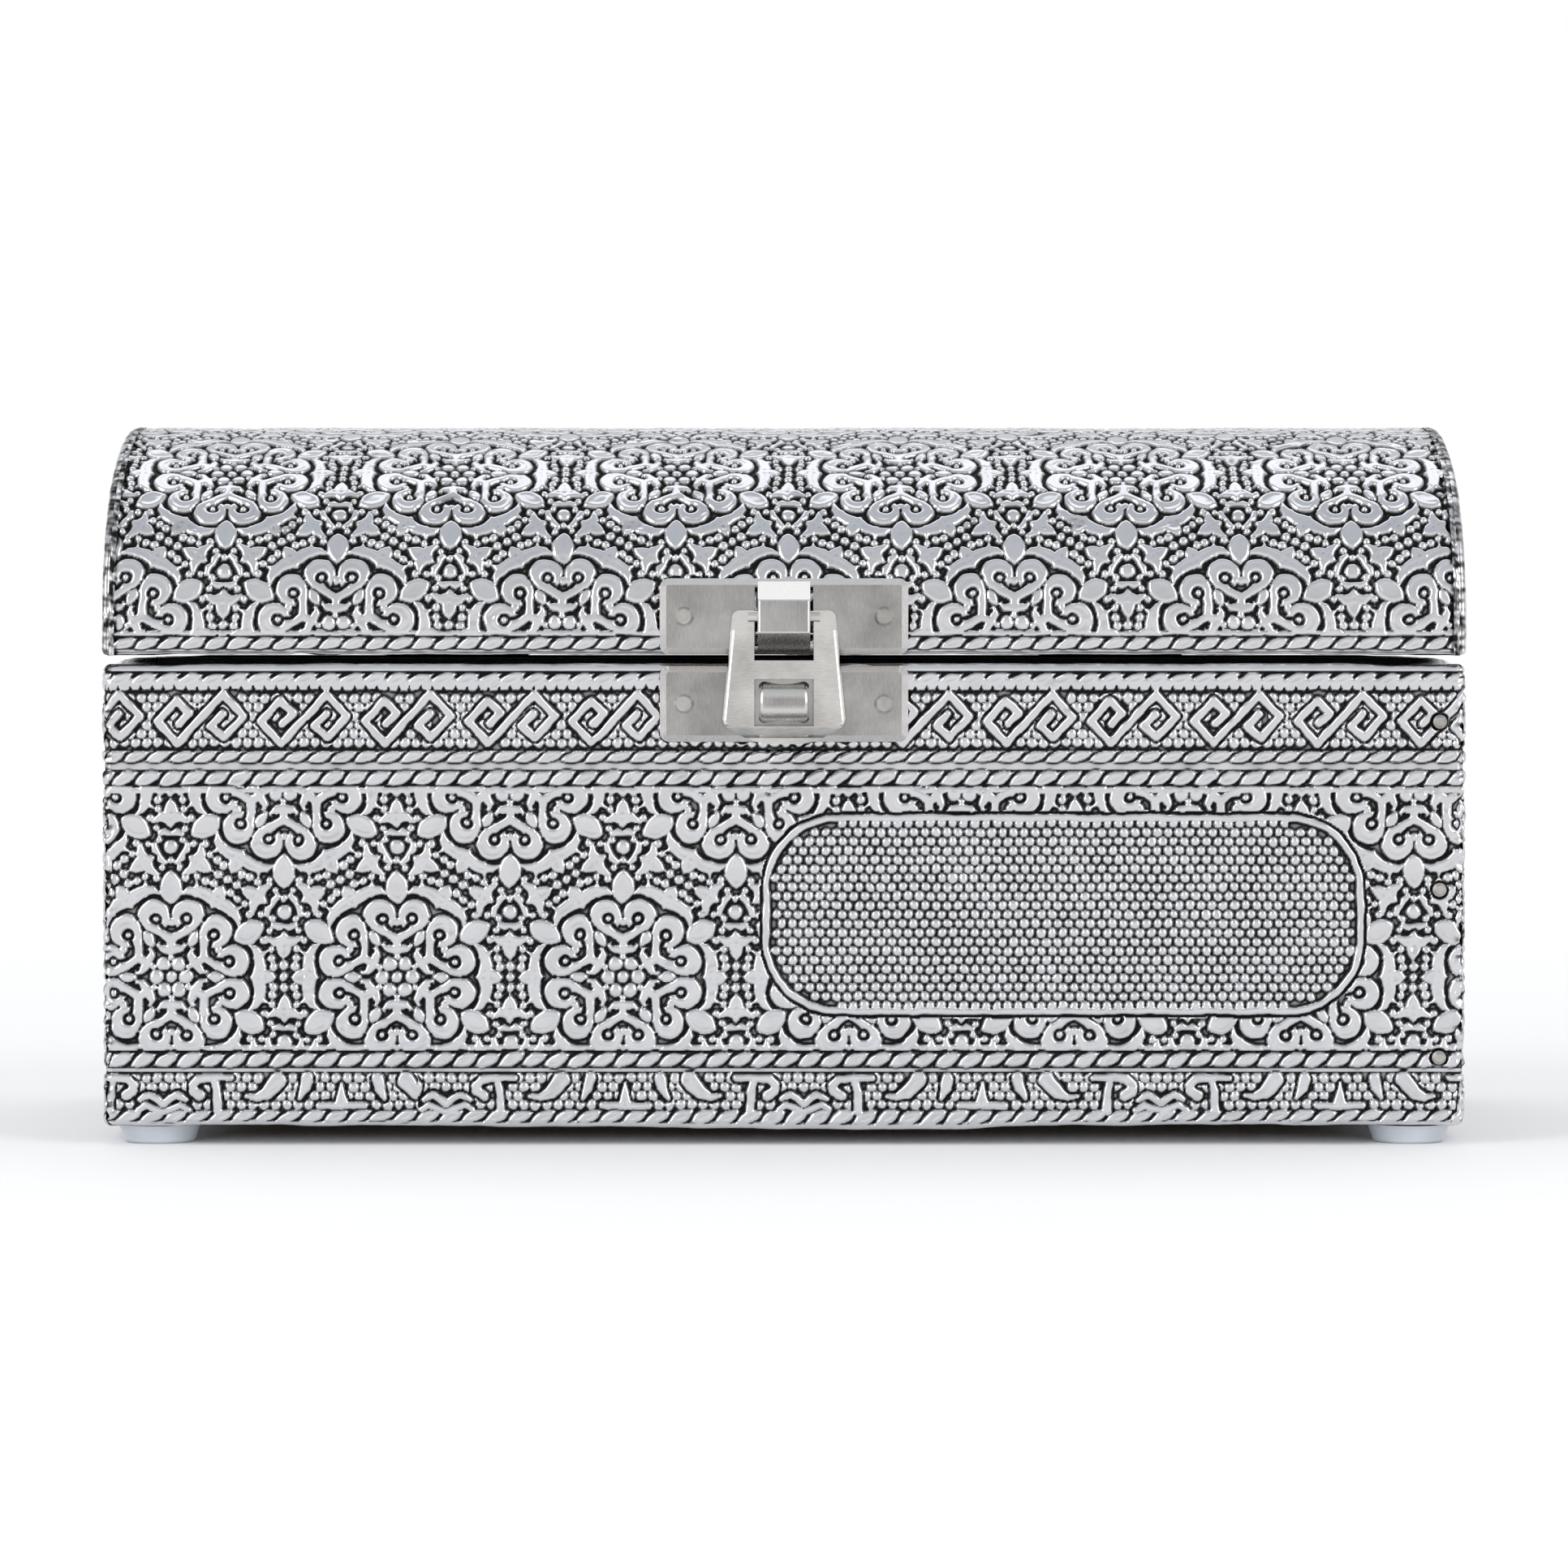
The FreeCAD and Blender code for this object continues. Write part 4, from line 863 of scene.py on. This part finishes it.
def notch_linings():
    """The cut tabs of sheet that turn in at the hinge notches. They run the whole depth of the rim and are
    dark, partly tarnish and partly painted shade inside the notch.
    """
    grids = []
    deep = np.linspace(TAB_START, RIM, TAB_COLUMNS)
    half = NOTCH_HALF - CLEAR
    top, bend, low = BASE_TOP - TAB_GAP, NOTCH_FLOOR + TAB_BEND, NOTCH_FLOOR + CLEAR
    path = np.array([(-half, top), (-half, bend), (TAB_BEND - half, low),
                     (half - TAB_BEND, low), (half, bend), (half, top)])
    for middle in (-HINGE_MIDDLE, HINGE_MIDDLE):
        points = grid_of(middle + path[:, :1], BACK - deep, path[:, 1:])
        grids.append((points, UP, TAB_DARK_AND_PAINTED_SHADE, None))
    clad("box_notch_tabs", grids, "base", "base_cladding")


notch_linings()


# The dome and the end sheets of the lid

def arch(s):
    """Point (y, z) and outward direction on the lid's outline, s along it from the foot of its front."""
    back = s > HALF_ARC
    t = np.where(back, ARC - s, s)
    side = t < LID_SIDE
    turn = np.clip((t - LID_SIDE) / SHOULDER, 0, SHOULDER_ANGLE)
    crown = np.clip((HALF_ARC - t) / CROWN, 0, CROWN_ANGLE)
    on_crown = t > LID_SIDE + SHOULDER * SHOULDER_ANGLE
    y = np.where(on_crown, HALF_DEPTH - CROWN * np.sin(crown), SHOULDER * (1 - np.cos(turn)))
    z = np.where(on_crown, LID_TOP - CROWN * (1 - np.cos(crown)), SPRING + SHOULDER * np.sin(turn))
    z = np.where(side, LID_BOTTOM + t, z)
    ny = np.where(on_crown, -np.sin(crown), -np.cos(turn))
    nz = np.where(on_crown, np.cos(crown), np.sin(turn))
    flip = np.where(back, -1, 1)
    return MIDDLE + flip * (y - HALF_DEPTH), z, ny * flip, nz


DOME_STRETCH = 26.4 / ROW
DOME_SHIFT = 0.6
FIRST_ROW = 2.6
DOME_LINE = (2.6, 3.3)
DOME_ROPE = {"shift": 0.5, "middle": 1.55, "height": 1.95}
DOME_FOOT_LINE = (-0.4, 0.62, 0.5)
DOME_BORDER, DOME_FIELD = (0.15, 2.55), (2.55, 60.0)
DOME_HEM = np.array([8.7, 7.2, 5.4, 3.6, 2.2])  # insets of the rows of the hem under the lid
NO_PATTERN = -1.0  # place of the hem's rows along the arch, before its start
UPWARD = (2, 28)  # stretch of the arch over which painted shade is added to the patina in the hollows, growing up the dome
# powers that deepen the patina with painted shade, at the foot and added by the top; painted shade on the
# low ground and the heights over which it fades
LOW_POWER, MORE_POWER = 1.3, 0.9
HIGH_PAINTED_SHADE, HIGH_PAINTED_SHADE_RUN = 0.7, (0.42, 0.8)
END_LEAD, END_RUN = 0.55, 0.4  # stained strip where the dome goes under the end sheets
END_STAIN, END_MOTTLE = 0.55, 0.5


def dome_relief(u, s):
    """Height of the dome's pattern, which runs up from both of its long edges."""
    v = np.minimum(s, ARC - s)

    def field(a, b):
        return np.maximum(flowers(a - DOME_SHIFT, (b - FIRST_ROW) / DOME_STRETCH), ridge(b, *DOME_LINE))

    def border(a, b):
        return np.maximum(rope(a, b, **DOME_ROPE), ridge(b, *DOME_FOOT_LINE))

    return bands(u, v, [(*DOME_BORDER, border), (*DOME_FIELD, field)], 20)


def dome():
    step = BACK_STEP
    u = spaced([-DOME_END, DOME_END], step)
    fold = np.linspace(0, math.pi / 2, FOLD_ROWS)[:-1]
    upper = spaced([FOLD, LID_SIDE, ARC - LID_SIDE, ARC - FOLD], step)
    y, z, ny, nz = arch(upper)
    fold_rise = FOLD * (1 - np.cos(fold))
    fold_y, fold_z = FRONT + FOLD * (1 - np.sin(fold)), LID_BOTTOM + fold_rise
    hem_rows = len(DOME_HEM)
    hem_z, flat, down = np.full(hem_rows, LID_BOTTOM), np.zeros(hem_rows), -np.ones(hem_rows)
    start = hem_rows + len(fold)
    s = np.concatenate([np.full(start, NO_PATTERN), upper, np.full(start, NO_PATTERN)])
    s[hem_rows:start] = fold_rise
    s[-start:-hem_rows] = (ARC - fold_rise)[::-1]
    y = np.concatenate([FRONT + DOME_HEM, fold_y, y, (2 * MIDDLE - fold_y)[::-1], (BACK - DOME_HEM)[::-1]])
    z = np.concatenate([hem_z, fold_z, z, fold_z[::-1], hem_z])
    ny = np.concatenate([flat, -np.sin(fold), ny, np.sin(fold)[::-1], flat])
    nz = np.concatenate([down, -np.cos(fold), nz, -np.cos(fold)[::-1], down])
    height = dome_relief(u, s)
    upward = smooth(*UPWARD, np.minimum(s, ARC - s))[:, None]
    # patina in the hollows, deepened with painted shade higher up the dome
    dark = 1 - (1 - darkening(height, step)) ** (LOW_POWER + MORE_POWER * upward)
    # painted shade on the low ground higher up the dome
    dark = np.maximum(dark, HIGH_PAINTED_SHADE * upward * (1 - smooth(*HIGH_PAINTED_SHADE_RUN, height)))
    near_end = np.clip((np.abs(u) - DOME_END + END_LEAD) / END_RUN, 0, 1)
    grid = u, s[:, None]
    mottle = wander(*grid, *MOTTLE_WAVES, 21)
    dark = np.clip(dark + near_end * np.clip(END_STAIN + END_MOTTLE * mottle, 0, 1), 0, 1)
    dents = np.clip(dented(*grid, 22, 23) + DENT_MEAN, 0, None)
    drop = np.minimum(RELIEF * (1 - height) + dents, DEEPEST)
    level = np.maximum(z[:, None] - drop * nz[:, None], LID_BOTTOM)
    points = grid_of(u, y[:, None] - drop * ny[:, None], level)
    clad("lid_dome", [(points, UP, dark, None)], "lid", "lid_cladding")


def arch_depth(y, z):
    """Distance inside the lid's outline, from its curved edge."""
    side = np.abs(y - MIDDLE)
    crown_z = LID_TOP - CROWN
    on_crown = np.arctan2(side, z - crown_z) < CROWN_ANGLE
    shoulder = SHOULDER - np.hypot(side - HALF_DEPTH + SHOULDER, z - SPRING)
    shoulder = np.where((z < SPRING) | (side < HALF_DEPTH - SHOULDER), HALF_DEPTH - side, shoulder)
    return np.where(on_crown & (z > SPRING), CROWN - np.hypot(side, z - crown_z), shoulder)


EDGE_SHARE, EDGE_ROWS = 0.06, 14  # outer part of an end sheet that has its own rows
INNER_STEP = 34  # length over which the inner rows are spaced
END_ROPE = {"middle": 2.35}
END_LINE = (3.6, 4.35)
END_FIELD = 4.0  # distance from the edge where the flowers start
END_FLOWER = (2.0, 8.0)
END_PLAIN, END_PLAIN_WIDTH = 0.82, 1.15
END_DENT_WAVES, END_DENT, END_DENT_MEAN = (40, 5), 0.05, 0.05
END_FADE = 1.2  # width over which the relief starts at the edge
FLANGE_STEP = 0.25
FLANGE_WAVES, FLANGE_STRETCH = (6, 0.9), 3
FLANGE_LIFT, FLANGE_CRUMPLE, FLANGE_MOST = 0.10, 0.12, 0.35
STAIN_WAVES, STAIN, STAIN_STRETCH = (5, 0.8), 0.42, 2
STAIN_WIDTH, STAIN_FADE = 0.9, 1.15
LID_HEM_ROWS, LID_HEM_COLUMNS = 6, 40
LID_HEM_RAISE = 0.06
LID_HEM_DARK = 0.12


def end_sheet(name, sign, node):
    """The sheet over an end of the lid, its flange on the dome and its hem underneath."""
    step = SIDE_STEP
    s = spaced([0, LID_SIDE, ARC - LID_SIDE, ARC], step)
    edge_y, edge_z, ny, nz = arch(s)
    inward = np.concatenate([np.linspace(0, EDGE_SHARE, EDGE_ROWS)[:-1],
                             spaced([EDGE_SHARE, 1.0], step / INNER_STEP)])
    y = MIDDLE + (edge_y - MIDDLE) * (1 - inward)[:, None]
    z = LID_BOTTOM + (edge_z - LID_BOTTOM) * (1 - inward)[:, None]
    curved, flat = arch_depth(y, z), z - LID_BOTTOM
    border = np.minimum(curved, flat)
    run = np.where(flat < curved, y, s)
    line = ridge(border, *END_LINE)
    field = flowers(sign * (y - MIDDLE) - END_FLOWER[0], z - LID_BOTTOM - END_FLOWER[1])
    height = np.maximum(np.where(border > END_FIELD, field, rope(run, border, **END_ROPE)), line)
    height = np.where(border < END_PLAIN_WIDTH, END_PLAIN, height)
    dark = darkening(height, step)
    rounding = np.clip(FOLD - border, 0, FOLD)
    x = HALF_WIDTH - FOLD + np.sqrt(FOLD ** 2 - rounding ** 2)
    dents = np.clip(wander(y, z, *END_DENT_WAVES, 31 + sign) * END_DENT + END_DENT_MEAN, 0, None)
    drop = np.minimum(RELIEF * (1 - height) + dents, DEEPEST)
    x = x - drop * np.clip(border / END_FADE, 0, 1)
    flange_x = np.array([DOME_END, DOME_END + FLANGE_STEP, HALF_WIDTH - FOLD])
    crumple = wander(s, flange_x[:, None] * FLANGE_STRETCH, *FLANGE_WAVES, 41 + sign)
    lift = np.clip(FLANGE_LIFT + FLANGE_CRUMPLE * crumple, 0, FLANGE_MOST)
    rows_y = np.concatenate([edge_y - ny * lift, y])
    rows_z = np.concatenate([edge_z - nz * lift, z])
    rows_x = np.concatenate([np.broadcast_to(flange_x[:, None], crumple.shape), x])
    across = np.concatenate([flange_x, HALF_WIDTH + HALF_DEPTH * inward])[:, None]
    mottle = wander(s, STAIN_STRETCH * across, *STAIN_WAVES, 51 + sign)
    mottle = np.clip(STAIN + STAIN * mottle, 0, 1)
    edge_dark = np.concatenate([mottle[:len(flange_x)], dark])
    worn = np.concatenate([np.zeros(crumple.shape), border])
    stained = np.clip(np.maximum(edge_dark, mottle * (STAIN_FADE - worn)), 0, 1)
    edge_dark = np.where(worn < STAIN_WIDTH, stained, edge_dark)
    points = grid_of(sign * rows_x, rows_y, rows_z)
    hem_x = np.linspace(HALF_WIDTH - RIM, HALF_WIDTH - FOLD, LID_HEM_ROWS)[:, None]
    hem_y = np.linspace(FRONT + FOLD, BACK - FOLD, LID_HEM_COLUMNS)
    hem = grid_of(sign * hem_x, hem_y, LID_BOTTOM + LID_HEM_RAISE)
    outward = np.array([float(sign), 0.0, 0.0])
    clad(name, [(points, outward, edge_dark, None), (hem, -UP, LID_HEM_DARK, None)], "lid", node)


dome()
end_sheet("lid_end_left", -1, "lid_left_end_cladding")
end_sheet("lid_end_right", 1, "lid_right_end_cladding")


# Velvet lining: crowned pads in the box, a vault and two end panels in the lid

def soft_piece(name, grids, body, node):
    piece = sheet_piece(name, grids, body, VELVET, node)


PAD_EDGE = np.array([0, 0, 0.06, 0.22, 0.5])  # rows at a pad's edge, and their share of its thickness
PAD_ROUND = np.array([0, 0.55, 0.8, 0.93, 1.0])
PAD_INSET, PAD_POINTS = 1, 40
PAD_POWER = 0.4  # the lower, the flatter the crown
SLACK_WAVES, SLACK = (60, 14), 0.05


def pad(node, axis, side, crown):
    """A pad that fills a node's box, crowned on the side that shows. axis is its thin direction."""
    low, high = corners(node)
    a, b = [k for k in range(3) if k != axis]
    steps = []
    for k in (a, b):
        inner = np.linspace(low[k] + PAD_INSET, high[k] - PAD_INSET, PAD_POINTS)
        steps.append(np.concatenate([low[k] + PAD_EDGE, inner, high[k] - PAD_EDGE[::-1]]))
    rise = np.concatenate([PAD_ROUND, np.ones(PAD_POINTS), PAD_ROUND[::-1]])
    first, second = np.meshgrid(*steps, indexing="ij")
    arc = np.sin(np.linspace(0, math.pi, len(rise)))
    swell = (arc[:, None] * arc) ** PAD_POWER
    slack = wander(first, second, *SLACK_WAVES, 61 + axis) * SLACK
    thick = high[axis] - low[axis]
    board = np.minimum(rise[:, None], rise) * thick * (1 - crown)
    depth = board + (swell * crown + slack * crown) * thick
    points = np.zeros((*first.shape, 3))
    points[..., a], points[..., b] = first, second
    points[..., axis] = low[axis] + depth if side > 0 else high[axis] - depth
    outward = np.zeros(3)
    outward[axis] = side
    soft_piece(node.replace("lining", "velvet"), [(points, outward, 0.0, None)], "base", node)


pad("base_floor_lining", axis=2, side=1, crown=0.35)
pad("base_front_lining", axis=1, side=1, crown=0.2)
pad("base_back_lining", axis=1, side=-1, crown=0.2)
pad("base_left_lining", axis=0, side=1, crown=0.2)
pad("base_right_lining", axis=0, side=-1, crown=0.2)

PANEL = 3.0  # thickness of the bent top
RAIL = 5.0
LINING = 1.0
LINING_FOOT = LID_BOTTOM + SHEET
RAIL_TOP = LINING_FOOT + 7.0
VAULT = SHEET + PANEL + LINING
VAULT_ROWS, VAULT_COLUMNS = 140, 90
VAULT_WAVES, VAULT_WAVE, WAVE_ROW = (60, 15), 0.08, 0.8
WAVE_START = RAIL_TOP + 2
PANEL_COLUMNS, PANEL_ROWS = 120, 30
PANEL_TUCK = 0.2  # how far an end panel goes behind the vault
PANEL_EDGE = [0, 0.004, 0.015]  # rows at its edge, and their share of its thickness
PANEL_ROUND = [0, 0.6, 0.9]
PANEL_INNER = 0.04


def vault_path():
    """The lining's face: up each rail, over it and along the underside of the dome."""
    s = np.linspace(0, ARC, VAULT_ROWS)
    y, z, ny, nz = arch(s)
    y, z = y - ny * VAULT, z - nz * VAULT
    over = z > RAIL_TOP + LINING
    y, z = y[over], z[over]
    rail = FRONT + SHEET + PANEL + RAIL + LINING
    low, top = LINING_FOOT, RAIL_TOP + LINING
    front = np.array([(rail - LINING, low), (rail - 0.2, low), (rail, low + 0.2), (rail, low + 2.5),
                      (rail, top - 0.5), (rail - 0.15, top - 0.15), (rail - 0.5, top), (y[0], top)])
    back = front[::-1] * [-1, 1] + [2 * MIDDLE, 0]
    return np.concatenate([front, np.stack([y, z], -1), back])


def lid_velvet():
    path = vault_path()
    x = np.linspace(-HALF_WIDTH + RIM, HALF_WIDTH - RIM, VAULT_COLUMNS)
    y, z = path[:, :1], path[:, 1:]
    rows = np.arange(len(path))[:, None] * WAVE_ROW
    wave = wander(x, rows, *VAULT_WAVES, 71) * VAULT_WAVE
    points = grid_of(x, y, z + np.where(z > WAVE_START, wave, 0))
    soft_piece("lid_velvet", [(points, -UP, 0.0, None)], "lid", "lid_lining")
    y, z, ny, nz = arch(np.linspace(0, ARC, PANEL_COLUMNS))
    inside = VAULT - PANEL_TUCK
    y, z = y - ny * inside, np.maximum(z - nz * inside, LINING_FOOT)
    size = 1 - np.concatenate([PANEL_EDGE, np.linspace(PANEL_INNER, 1, PANEL_ROWS)])[:, None]
    depth = np.concatenate([PANEL_ROUND, np.ones(PANEL_ROWS)])[:, None] * LINING
    for name, sign in (("left", -1), ("right", 1)):
        panel = grid_of(sign * (HALF_WIDTH - RIM - depth), MIDDLE + (y - MIDDLE) * size,
                        LINING_FOOT + (z - LINING_FOOT) * size)
        outward = np.array([-float(sign), 0.0, 0.0])
        soft_piece(f"lid_{name}_end_velvet", [(panel, outward, 0.0, None)], "lid",
                   f"lid_{name}_end_lining")


lid_velvet()


# Floor, light and camera, in metres

FLOOR_HALF = 6.0
GLOW_START, GLOW_END = 0.14, 0.42  # distances at which the white sweep starts and is full
SENSOR, FOCAL_LENGTH = 36, 123.5
EYE_DISTANCE, EYE_HEIGHT, AIM_HEIGHT = 0.70, 0.068, 0.0472
BOX_TARGET, TOP_TARGET = (0, 0, 0.30), (0, 0, 0.05)


def floor():
    """Matt white paper round the chest that turns into a luminous white sweep further off."""
    mesh = bpy.data.meshes.new("floor")
    rim = [(x * FLOOR_HALF, y * FLOOR_HALF, 0) for x, y in ((-1, -1), (1, -1), (1, 1), (-1, 1))]
    mesh.from_pydata(rim, [], [(0, 1, 2, 3)])
    made, tree, shader = material("floor_paper")
    paper = ramp(tree, noise(tree, scale=3, detail=3), [(0.3, grey(0.92)), (0.7, grey(0.94))])
    feed(tree, paper, shader, "Base Color")
    set_inputs(shader, {"Roughness": 0.9, "Specular IOR Level": 0.1})
    place = tree.nodes.new("ShaderNodeTexCoord")
    distance = tree.nodes.new("ShaderNodeVectorMath")
    distance.operation = "LENGTH"
    feed(tree, place.outputs["Object"], distance, 0)
    glow = tree.nodes.new("ShaderNodeEmission")
    set_inputs(glow, {"Color": (1, 1, 1, 1), "Strength": 1.0})
    mix = tree.nodes.new("ShaderNodeMixShader")
    share = spread(tree, distance.outputs["Value"], 0.0, 1.0, GLOW_START, GLOW_END)
    feed(tree, share, mix, "Fac")
    feed(tree, shader.outputs["BSDF"], mix, 1)
    feed(tree, glow.outputs["Emission"], mix, 2)
    tree.links.new(mix.outputs["Shader"], tree.nodes["Material Output"].inputs["Surface"])
    mesh.materials.append(made)
    placed("floor", mesh)


def studio():
    """White round the horizon, dimmer above, so that the lamps stand out in the metal."""
    world = bpy.data.worlds.new("studio")
    bpy.context.scene.world = world
    world.use_nodes = True
    tree = world.node_tree
    place = tree.nodes.new("ShaderNodeTexCoord")
    split = tree.nodes.new("ShaderNodeSeparateXYZ")
    feed(tree, place.outputs["Generated"], split, "Vector")
    tent = ramp(tree, split.outputs["Z"], [
        (0.0, grey(1.0)), (0.12, grey(1.0)), (0.26, grey(0.84)), (0.50, grey(0.80, -0.01)),
        (0.77, grey(0.74, -0.03)), (0.90, grey(0.71, -0.05)), (1.0, grey(0.69, -0.05))])
    tree.links.new(tent, tree.nodes["Background"].inputs["Color"])


def turned(made, place, target):
    """Puts a lamp or camera at place and turns it to target."""
    made.location = place
    direction = Vector(np.array(target) - np.array(place))
    made.rotation_euler = direction.to_track_quat("-Z", "Y").to_euler()


def softbox(name, place, target, width, height, radiance):
    lamp = bpy.data.lights.new(name, "AREA")
    lamp.shape = "RECTANGLE"
    lamp.size, lamp.size_y = width, height
    lamp.energy = radiance * width * height * math.pi
    turned(placed(name, lamp), place, target)


def camera():
    lens_data = bpy.data.cameras.new("camera")
    lens_data.sensor_width = SENSOR
    lens_data.lens = FOCAL_LENGTH
    made = placed("camera", lens_data)
    turned(made, (0.0, FRONT * MM - EYE_DISTANCE, EYE_HEIGHT), (0.0, FRONT * MM, AIM_HEIGHT))
    bpy.context.scene.camera = made


floor()
studio()
softbox("left_box", (-0.85, -0.70, 0.55), BOX_TARGET, width=0.5, height=1.0, radiance=3.3)
softbox("right_box", (0.85, -0.70, 0.55), BOX_TARGET, width=0.5, height=1.0, radiance=2.7)
softbox("top_box", (0, 0.45, 1.15), TOP_TARGET, width=1.3, height=0.8, radiance=0.75)
camera()
bpy.context.scene.view_settings.view_transform = "Standard"
